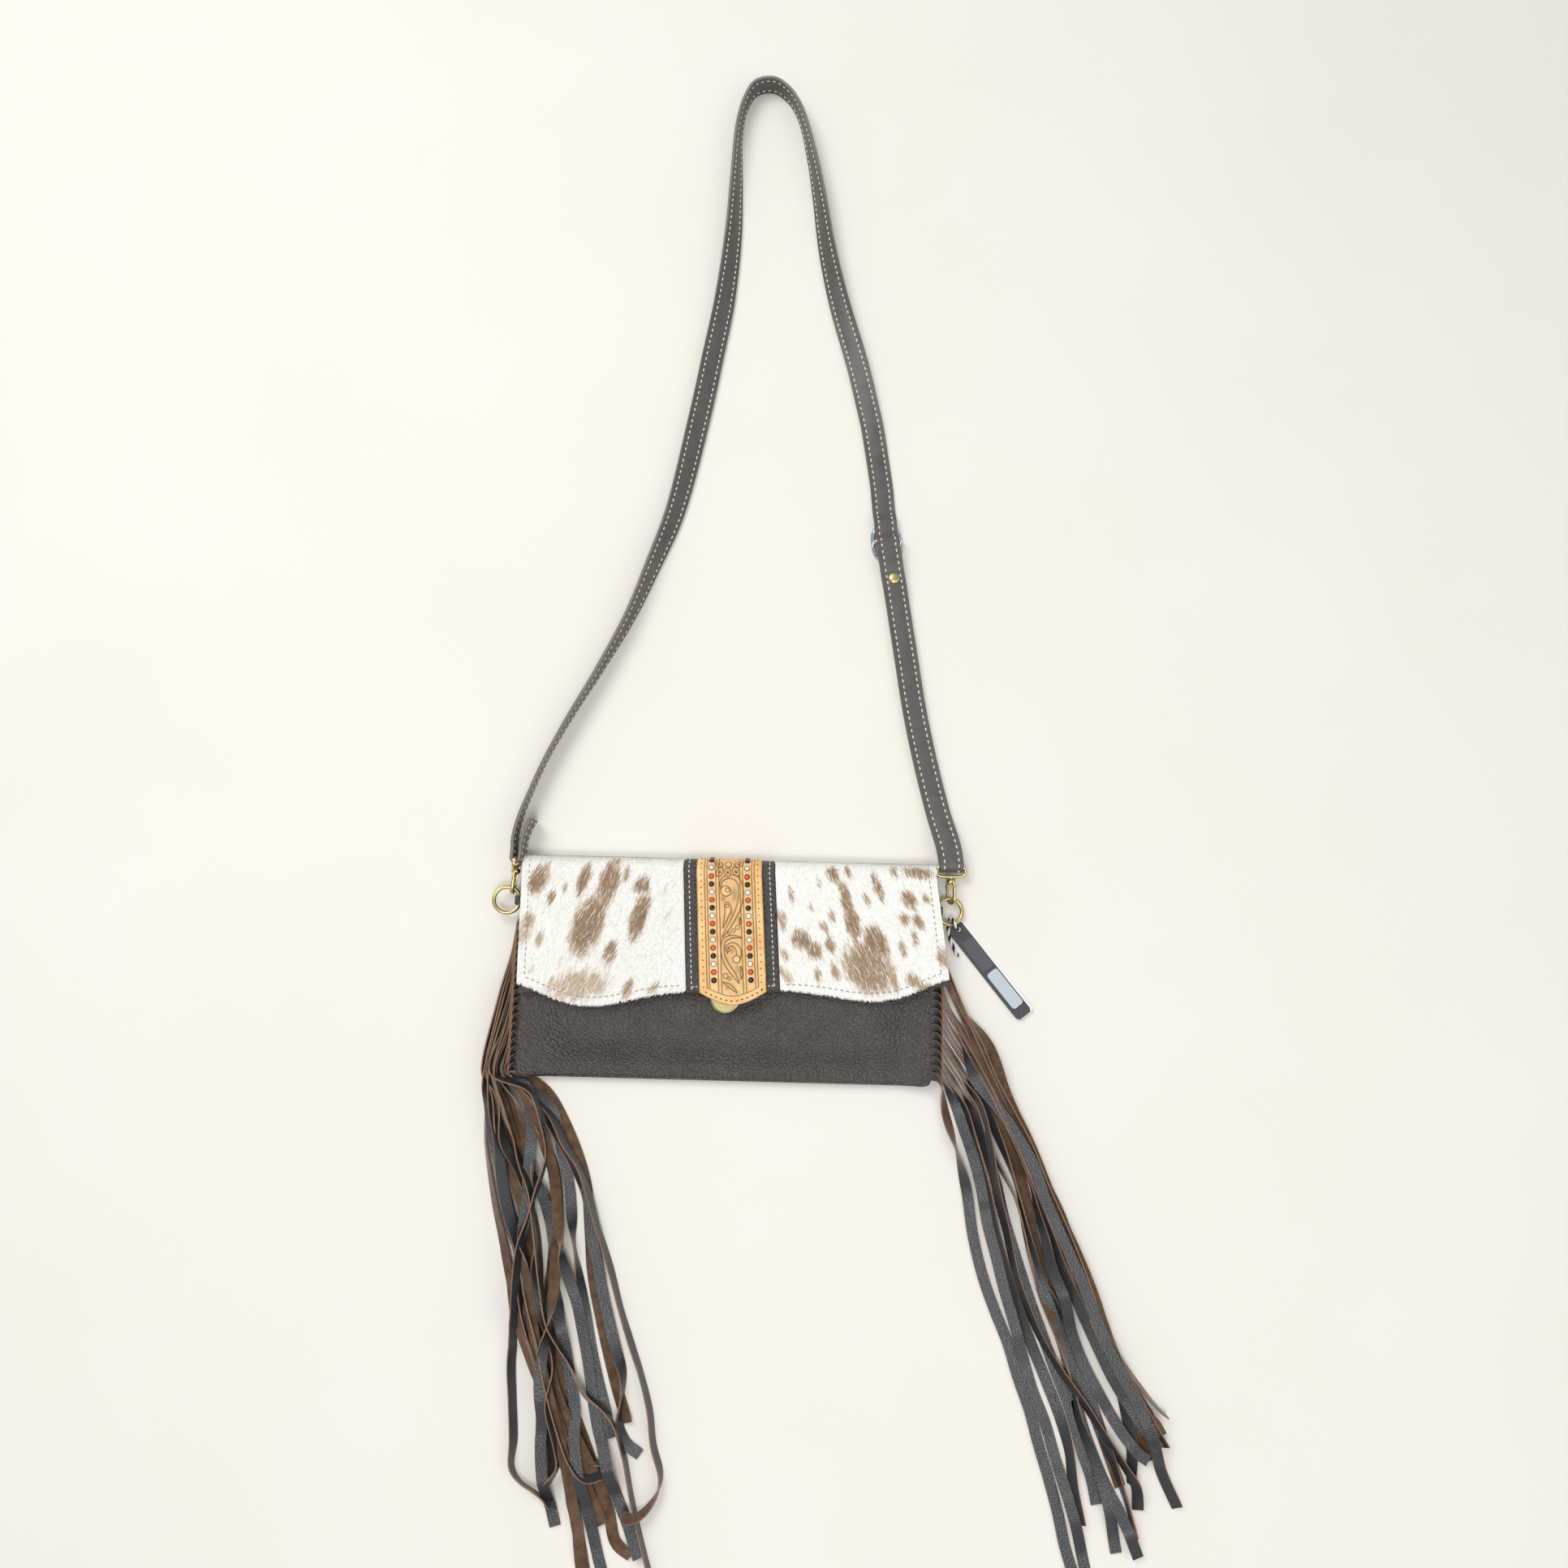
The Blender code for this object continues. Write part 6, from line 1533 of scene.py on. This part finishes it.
def make_hook(side, word):
    start, level = hook_start[side], hook_axes(side)
    turn = level @ Matrix.Rotation(hook_roll[side], 3, "Y")
    reach = hook_throat + hook_wire
    bow = [(0.0, collar_start + 0.6 * MM, reach * 0.75), (0.0, 7.5 * MM, reach), (0.0, 4 * MM, reach)]
    for step in range(9):
        angle = math.pi * step / 8
        bow.append((0.0, -reach * math.sin(angle), reach * math.cos(angle)))
    bow.append((0.0, 1.6 * MM, -reach))
    points = [Vector(row) for row in resample(bow, 0.45 * MM)]
    hook = wire(points, lambda v: hook_wire * (0.86 + 0.2 * math.sin(math.pi * min(v * 1.2, 1.0))))
    bore, wall = 1.5 * MM, 1.6 * MM
    low, high = collar_start, collar_start + collar_length
    append(hook, lathe_along([(bore, low), (bore + wall - 0.5 * MM, low), (bore + wall, low + 0.5 * MM),
                              (bore + wall - 0.25 * MM, low + 1.0 * MM),
                              (bore + wall - 0.25 * MM, high - 1.0 * MM),
                              (bore + wall, high - 0.5 * MM), (bore + wall - 0.5 * MM, high),
                              (bore, high), (bore, low)]))
    body = add_piece("snap_hook_" + word, put(hook, start, turn), [pale_brass], "swivel_" + word)
    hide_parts("hook_" + word)

    half = strap_width / 2 + 0.4 * MM + eye_wire
    top = eye_length
    neck = collar_start + collar_length + 1.4 * MM
    loop = [(half, top - 1.2 * MM), (half - 1.2 * MM, top), (0.0, top), (1.2 * MM - half, top),
            (-half, top - 1.2 * MM), (-half, neck + 2.4 * MM), (0.8 * MM - half, neck + 0.9 * MM),
            (-2.5 * MM, neck), (2.5 * MM, neck), (half - 0.8 * MM, neck + 0.9 * MM),
            (half, neck + 2.4 * MM), (half, top - 1.2 * MM)]
    keys = [(0.0, y, x) if side < 0 else (x, y, 0.0) for x, y in loop]
    points = [Vector(row) for row in resample(keys, 0.7 * MM)]
    eye = wire(points, eye_wire)
    head = collar_start - 0.3 * MM
    append(eye, lathe_along([(0.0, neck + 0.6 * MM), (1.2 * MM, neck + 0.6 * MM), (1.2 * MM, head),
                             (2.0 * MM, head - 0.1 * MM), (2.1 * MM, head - 0.4 * MM),
                             (1.6 * MM, head - 0.8 * MM), (0.0, head - 0.9 * MM)], 18))
    loop_piece = add_piece("swivel_eye_" + word, put(eye, start, level), [pale_brass], "bag")
    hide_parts("hook_eye_" + word)

    pivot = Vector((0.0, collar_start - 1.1 * MM, -reach))
    outline = [(0.8, -0.5), (0.8, 0.5), (0.3, 0.7), (-5.5, 0.6), (-5.5, -0.6), (-3.2, -0.7),
               (-2.4, -1.5), (-1.9, -1.8), (-1.4, -1.6), (-1.2, -0.7)]
    gate = bmesh.new()
    face = gate.faces.new([gate.verts.new((-0.9 * MM, y * MM, z * MM)) for y, z in outline])
    made = bmesh.ops.extrude_face_region(gate, geom=[face])
    moved = [item for item in made["geom"] if isinstance(item, bmesh.types.BMVert)]
    bmesh.ops.translate(gate, verts=moved, vec=(1.8 * MM, 0.0, 0.0))
    bmesh.ops.recalc_face_normals(gate, faces=gate.faces[:])
    bmesh.ops.bevel(gate, geom=gate.edges[:], offset=0.18 * MM, segments=2, affect="EDGES",
                    profile=0.5, material=-1)
    lever = add_piece("sprung_gate_" + word, put(gate, start + turn @ pivot, turn), [pale_brass],
                      "gate_" + word)
    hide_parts("hook_gate_" + word)


for side, word in ((-1, "left"), (1, "right")):
    ring = wire(ring_points(side, 48), ring_wire, closed=True, sides=14)
    bmesh.ops.remove_doubles(ring, verts=ring.verts, dist=0.01 * MM)
    hoop = add_piece("brass_ring_" + word, ring, [pale_brass], "swing_ring_" + word)
    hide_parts("ring_" + word)
    make_tab(side, word)
    make_hook(side, word)


# Snap
# A magnetic snap: a pale brass cup clenched through the front panel and a disc under the
# flap's point, whose edge shows beside the strip's tip.

snap_place = (0.0, -17.5 * MM)
cup_seat = front_face(*snap_place) + 0.3 * MM
cup_bm = turned([(0.0, 0.4 * MM), (2.6 * MM, 0.4 * MM), (2.6 * MM, 1.5 * MM), (2.8 * MM, 1.6 * MM),
                 (6.1 * MM, 1.6 * MM), (6.5 * MM, 1.3 * MM), (7.0 * MM, 1.0 * MM), (8.6 * MM, 0.9 * MM),
                 (9.0 * MM, 0.6 * MM), (9.0 * MM, 0.0), (0.0, 0.0)], 40)
bmesh.ops.translate(cup_bm, verts=cup_bm.verts, vec=(*snap_place, cup_seat))
snap_cup = add_piece("snap_cup", cup_bm, [pale_brass], "bag")
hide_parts("snap_female")
disc_seat = flap_height(*snap_place) - 0.3 * MM
disc_bm = turned([(0.0, 0.0), (7.7 * MM, 0.0), (8.0 * MM, -0.3 * MM), (7.8 * MM, -0.8 * MM),
                  (2.2 * MM, -0.8 * MM), (2.0 * MM, -1.0 * MM), (1.9 * MM, -1.7 * MM),
                  (1.6 * MM, -1.8 * MM), (0.0, -1.8 * MM)], 40)
bmesh.ops.translate(disc_bm, verts=disc_bm.verts, vec=(*snap_place, disc_seat))
snap_disc = add_piece("snap_disc", disc_bm, [pale_brass], "flap")
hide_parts("snap_male")


# Strap
# One long strip of the same leather, folded so that grain shows on both faces, with cut
# edges left raw and two rows of white stitching. Both ends loop through the hooks' eyes.

strap_thick = 2.2 * MM
tail_thick = 1.2 * MM
slider_y = 284.2 * MM
slider_thick = 2.0 * MM
slider_bar = 1.0 * MM
rivet_y = 258.5 * MM
tail_end_y = 253.5 * MM
gap = 0.3 * MM
loop_radius = eye_wire + gap + strap_thick / 2
bar_height = slider_thick + 0.3 * MM + 3 * gap + strap_thick + tail_thick + slider_bar
# The lower leg starts its rise at the first distance from the slider's middle and ends it at
# the second. Both legs rise towards the hook's eye between the places in eye_ramp.
slider_ramp = (22.5 * MM, 13.5 * MM)
eye_ramp = (104 * MM, 74 * MM)
hump_rise = 1.8 * MM
hump_ahead = 13 * MM
hump_half = 4.5 * MM
leg_keys = [(62, 140.5), (73, 140.1), (82, 138.4), (103, 132.2), (135, 124.0), (170, 116.5),
            (210, 110.0), (250, 103.5), (284, 97.2), (327, 93.0), (368, 86.0)]
# x, y, height of the lower edge in mm and roll in degrees along the strap's long free part
strap_keys = [
    (-136.6, 80, 2.2, 92), (-134.6, 93, 0.5, 95), (-130, 107, 0, 97), (-122, 128, 0, 98),
    (-109, 155, 0, 96), (-90, 190, 0, 90), (-71, 228, 0, 78), (-57, 265, 0, 62),
    (-45, 300, 0, 45), (-31, 370, 0, 25), (-23, 418, 0, 25), (-17, 455, 0, 32),
    (-12.5, 505, 0, 48), (-11.5, 550, 0, 66), (-11, 582, 0, 80), (-7.5, 604, 0, 88),
    (0, 618, 0, 90), (9.5, 621.5, 0, 90), (20, 617, 0, 90), (31, 601, 0, 86),
    (40, 569, 0, 76), (46, 538, 0, 64), (53, 495, 0, 48), (62, 456, 0, 34),
    (76, 409, 0, 18), (86, 368, 0, 6),
]


def leg_point(y, z):
    plain = [np.interp((y + shift) / MM, [key[0] for key in leg_keys], [key[1] for key in leg_keys])
             for shift in (-6 * MM, 0.0, 6 * MM)]
    return Vector(((plain[0] + 2 * plain[1] + plain[2]) / 4 * MM, y, z))


def leg_across(y):
    along = leg_point(y - 4 * MM, 0.0) - leg_point(y + 4 * MM, 0.0)
    return UP.cross(along.normalized())


def eye_point(side):
    return hook_start[side] + hook_along[side].normalized() * eye_length


def under_z(y):
    """Height of the strap's lower leg, which rises over the slider's far end in a hump."""
    over_slider = ease(abs(y - slider_y), *slider_ramp)
    at_eye = eye_point(1).z - loop_radius - strap_thick / 2
    lift = slider_thick + 0.3 * MM + gap
    hump = hump_rise * math.exp(-((y - slider_y - hump_ahead) / hump_half) ** 2)
    return strap_thick / 2 + lift * over_slider + hump + at_eye * ease(y, *eye_ramp)


def over_z(y):
    """Height of the doubled end that lies on the lower leg, and steps up over its own tail."""
    step = strap_thick + gap
    z = under_z(y) + step + (2 * loop_radius - step) * ease(y, *eye_ramp)
    return z + (tail_thick + gap) * ease(y, tail_end_y - 10 * MM, tail_end_y - 1 * MM)


def strap_stations():
    """(point, across, thickness) along the whole strap, from one end to the other."""
    rows = []
    eye = eye_point(-1)
    across, along, bar = hook_axes(-1).transposed()
    for x, y, share in ((-125.2, 91.2, 0.0), (-127.2, 87.8, 0.0), (-128.8, 84.0, 0.1),
                        (-130.0, 80.2, 0.3), (-131.0, 76.5, 0.7)):
        rows.append((Vector((x * MM, y * MM, eye.z)), UP.lerp(bar, share), strap_thick))
    rows.append((eye + across * loop_radius + along * 4 * MM, bar, strap_thick))
    for step in range(7):
        angle = -math.pi * step / 6
        rows.append((eye + (across * math.cos(angle) + along * math.sin(angle)) * loop_radius,
                     bar, strap_thick))
    rows.append((eye - across * loop_radius + along * 4 * MM, bar, strap_thick))
    laid = resample([(x * MM, y * MM, 0.0, lift * MM, roll) for x, y, lift, roll in strap_keys],
                    14 * MM)
    for number, (x, y, _, lift, roll) in enumerate(laid):
        ahead = laid[min(number + 1, len(laid) - 1)] - laid[max(number - 1, 0)]
        along = Vector((ahead[0], ahead[1], 0.0)).normalized()
        roll = math.radians(roll)
        across = UP.cross(along) * math.cos(roll) + UP * math.sin(roll)
        height = (strap_width * abs(math.sin(roll)) + strap_thick * abs(math.cos(roll))) / 2
        rows.append((Vector((x, y, lift + height)), across, strap_thick))
    for y in (340, 322, 311, 305, 301, 297, 293, 289, 284, 273, 267, 262, 250, 205, 170, 135, 104, 96,
              88, 80, 74):
        rows.append((leg_point(y * MM, under_z(y * MM)), leg_across(y * MM), strap_thick))
    eye = eye_point(1)
    bar, along, above = hook_axes(1).transposed()
    rows.append((eye - above * loop_radius + along * 3 * MM, bar, strap_thick))
    for step in range(7):
        angle = -math.pi / 2 - math.pi * step / 6
        rows.append((eye + (along * math.cos(angle) + above * math.sin(angle)) * loop_radius,
                     bar, strap_thick))
    rows.append((eye + above * loop_radius + along * 3 * MM, bar, strap_thick))
    for y in (74, 80, 88, 96, 104, 135, 170, 205, 243, 247, 253, 262, 267, 271, 276):
        rows.append((leg_point(y * MM, over_z(y * MM)), leg_across(y * MM), strap_thick))
    for step in range(8):
        angle = math.pi * (0.62 - 1.12 * step / 7)
        thick = strap_thick + (tail_thick - strap_thick) * min(step / 6, 1.0)
        out = slider_bar + gap + thick / 2
        rows.append((leg_point(slider_y + out * math.cos(angle), bar_height + out * math.sin(angle)),
                     leg_across(slider_y), thick))
    for y in (280, 276, 271, 268, 265, 262, tail_end_y / MM):
        z = under_z(y * MM) + (strap_thick + tail_thick) / 2 + gap
        rows.append((leg_point(y * MM, z), leg_across(y * MM), tail_thick))
    return rows


# Satin cowhide: the strap's faces, dark grey with a finer and flatter grain than the panels'.
strap_hide, tree = start_material("fine_grained_strap_leather")
place = add_node(tree, "TexCoord")
pebble = add_node(tree, "TexVoronoi", None, {"Scale": 950.0}, {"Vector": (place, "Object")})
cloudy = add_node(tree, "TexNoise", None, {"Scale": 110.0, "Detail": 6.0}, {"Vector": (place, "Object")})
tone = add_node(tree, "Mix", {"data_type": "RGBA"}, {6: linear("46423f"), 7: linear("625e5b")},
                {0: (cloudy, 0)})
rise = add_node(tree, "Bump", {"invert": True}, {"Strength": 0.6, "Distance": 0.22 * MM},
                {"Height": (pebble, 0)})
end_material(tree, {"Roughness": 0.42}, {"Base Color": (tone, 2), "Normal": (rise, 0)})

# Edge-cut cowhide: the strap's raw sides, fibrous and a dusty grey-brown.
strap_edge_finish, tree = start_material("raw_strap_edge")
place = add_node(tree, "TexCoord")
fibre = add_node(tree, "TexNoise", None, {"Scale": 600.0, "Detail": 4.0}, {"Vector": (place, "Object")})
tone = add_node(tree, "Mix", {"data_type": "RGBA"}, {6: linear("6b6259"), 7: linear("958a7e")},
                {0: (fibre, 0)})
end_material(tree, {"Roughness": 0.9}, {"Base Color": (tone, 2)})

rows = strap_stations()
flat = resample([(*point, *across, thick) for point, across, thick in rows], 2.4 * MM)
points = [Vector(row[:3]) for row in flat]
stations = follow(points, [Vector(row[3:6]).normalized() for row in flat])
thicks = [row[6] for row in flat]


def strap_section(v):
    """A flat section, slightly full, with the two stitched channels pressed in."""
    thick = thicks[min(round(v * (len(thicks) - 1)), len(thicks) - 1)] / 2
    half = strap_width / 2
    outline = [(-half, -thick * 0.6), (-half + 0.35 * MM, -thick)]
    face = [(-5.2, 0.97), (-4.55, 0.86), (-3.9, 0.97), (0.0, 1.0), (3.9, 0.97), (4.55, 0.86),
            (5.2, 0.97)]
    outline += [(a * MM, -thick * b) for a, b in face]
    outline += [(half - 0.35 * MM, -thick), (half, -thick * 0.6), (half, thick * 0.6),
                (half - 0.35 * MM, thick)]
    outline += [(-a * MM, thick * b) for a, b in face]
    return outline + [(-half + 0.35 * MM, thick), (-half, thick * 0.6)]


bm = swept(stations, strap_section)
layer = bm.loops.layers.uv.verify()
around = len(strap_section(0.0))
for face in bm.faces:
    u = sum(loop[layer].uv.x for loop in face.loops) / len(face.loops) * around
    if len(face.verts) > 4 or abs(u - 10.5) < 0.6 or u > around - 1.0:
        face.material_index = 1
strap = add_piece("long_strap", bm, [strap_hide, strap_edge_finish], "bag")
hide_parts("strap")
bm = bmesh.new()
for a in (-4.55 * MM, 4.55 * MM):
    for face_side in (-1, 1):
        path = [point + across * a + out * face_side * (thick / 2 * 0.88)
                for (point, across, out), thick in zip(stations, thicks)]
        stitch_run(bm, path, [out * face_side for _, _, out in stations], gap=4.2 * MM,
                   length=2.8 * MM, width=0.9 * MM)
strap_stitches = add_piece("strap_stitches", bm, [white_thread], "bag", 80)


# Slider and rivet
# A bright nickel-plated slide with a raised bar that the strap's tail wraps, and one domed
# pale brass rivet that holds the tail down.

# Nickel plate: mirror bright and slightly blue.
bright_nickel, tree = start_material("bright_nickel_plate")
place = add_node(tree, "TexCoord")
handled = add_node(tree, "TexNoise", None, {"Scale": 300.0, "Detail": 4.0}, {"Vector": (place, "Object")})
tone = add_node(tree, "Mix", {"data_type": "RGBA"}, {6: linear("b9c3c9"), 7: linear("d8dee0")},
                {0: (handled, 0)})
wear = add_node(tree, "MapRange", None, {"To Min": 0.1, "To Max": 0.26}, {0: (handled, 0)})
end_material(tree, {"Metallic": 1.0}, {"Base Color": (tone, 2), "Roughness": (wear, 0)})

slide_width = 21 * MM
slide_length = 25 * MM
slide_half = slide_width / 2
band_width = 2.5 * MM
low, high = 0.3 * MM, 0.3 * MM + slider_thick
soft = 0.5 * MM
inner = slide_half - band_width
slide_bm = turned([(inner, low + soft), (inner + soft, low), (slide_half - soft, low),
                   (slide_half, low + soft), (slide_half, high - soft), (slide_half - soft, high),
                   (inner + soft, high), (inner, high - soft), (inner, low + soft)], 56)
for vert in slide_bm.verts:
    x, y = abs(vert.co.x), abs(vert.co.y)
    fuller = math.hypot(x, y) / (x ** 3 + y ** 3) ** (1 / 3)
    vert.co.x *= fuller
    vert.co.y *= fuller
bmesh.ops.scale(slide_bm, verts=slide_bm.verts, vec=(1.0, slide_length / slide_width, 1.0))
post = slide_half - band_width / 2
bar_keys = [(-post, 0.0, 1.2 * MM), (-post, 0.0, bar_height - 1.2 * MM),
            (-post + 1.0 * MM, 0.0, bar_height), (0.0, 0.0, bar_height),
            (post - 1.0 * MM, 0.0, bar_height), (post, 0.0, bar_height - 1.2 * MM),
            (post, 0.0, 1.2 * MM)]
bar_points = [Vector(row) for row in resample(bar_keys, 0.7 * MM)]
append(slide_bm, swept(follow(bar_points, [Vector((0.0, 1.0, 0.0))] * len(bar_points)),
                       lambda v: round_section(slider_bar)))
turn = Matrix.Rotation(math.atan2(leg_across(slider_y).y, leg_across(slider_y).x), 3, "Z")
slide = add_piece("nickel_slider", put(slide_bm, leg_point(slider_y, 0.0), turn), [bright_nickel], "bag")
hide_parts("strap_slider")

cap = 1.3 * MM
depth = strap_thick + tail_thick + gap
rivet_bm = turned([(0.0, cap), (1.2 * MM, cap * 0.97), (2.3 * MM, cap * 0.85), (3.2 * MM, cap * 0.58),
                   (3.7 * MM, 0.35 * MM), (3.8 * MM, 0.15 * MM), (3.7 * MM, 0.0), (1.2 * MM, 0.0),
                   (1.2 * MM, -depth), (0.0, -depth)], 32)
bmesh.ops.translate(rivet_bm, verts=rivet_bm.verts,
                    vec=leg_point(rivet_y, over_z(rivet_y) + strap_thick / 2 + gap))
rivet = add_piece("domed_rivet", rivet_bm, [pale_brass], "bag")
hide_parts("strap_rivet")
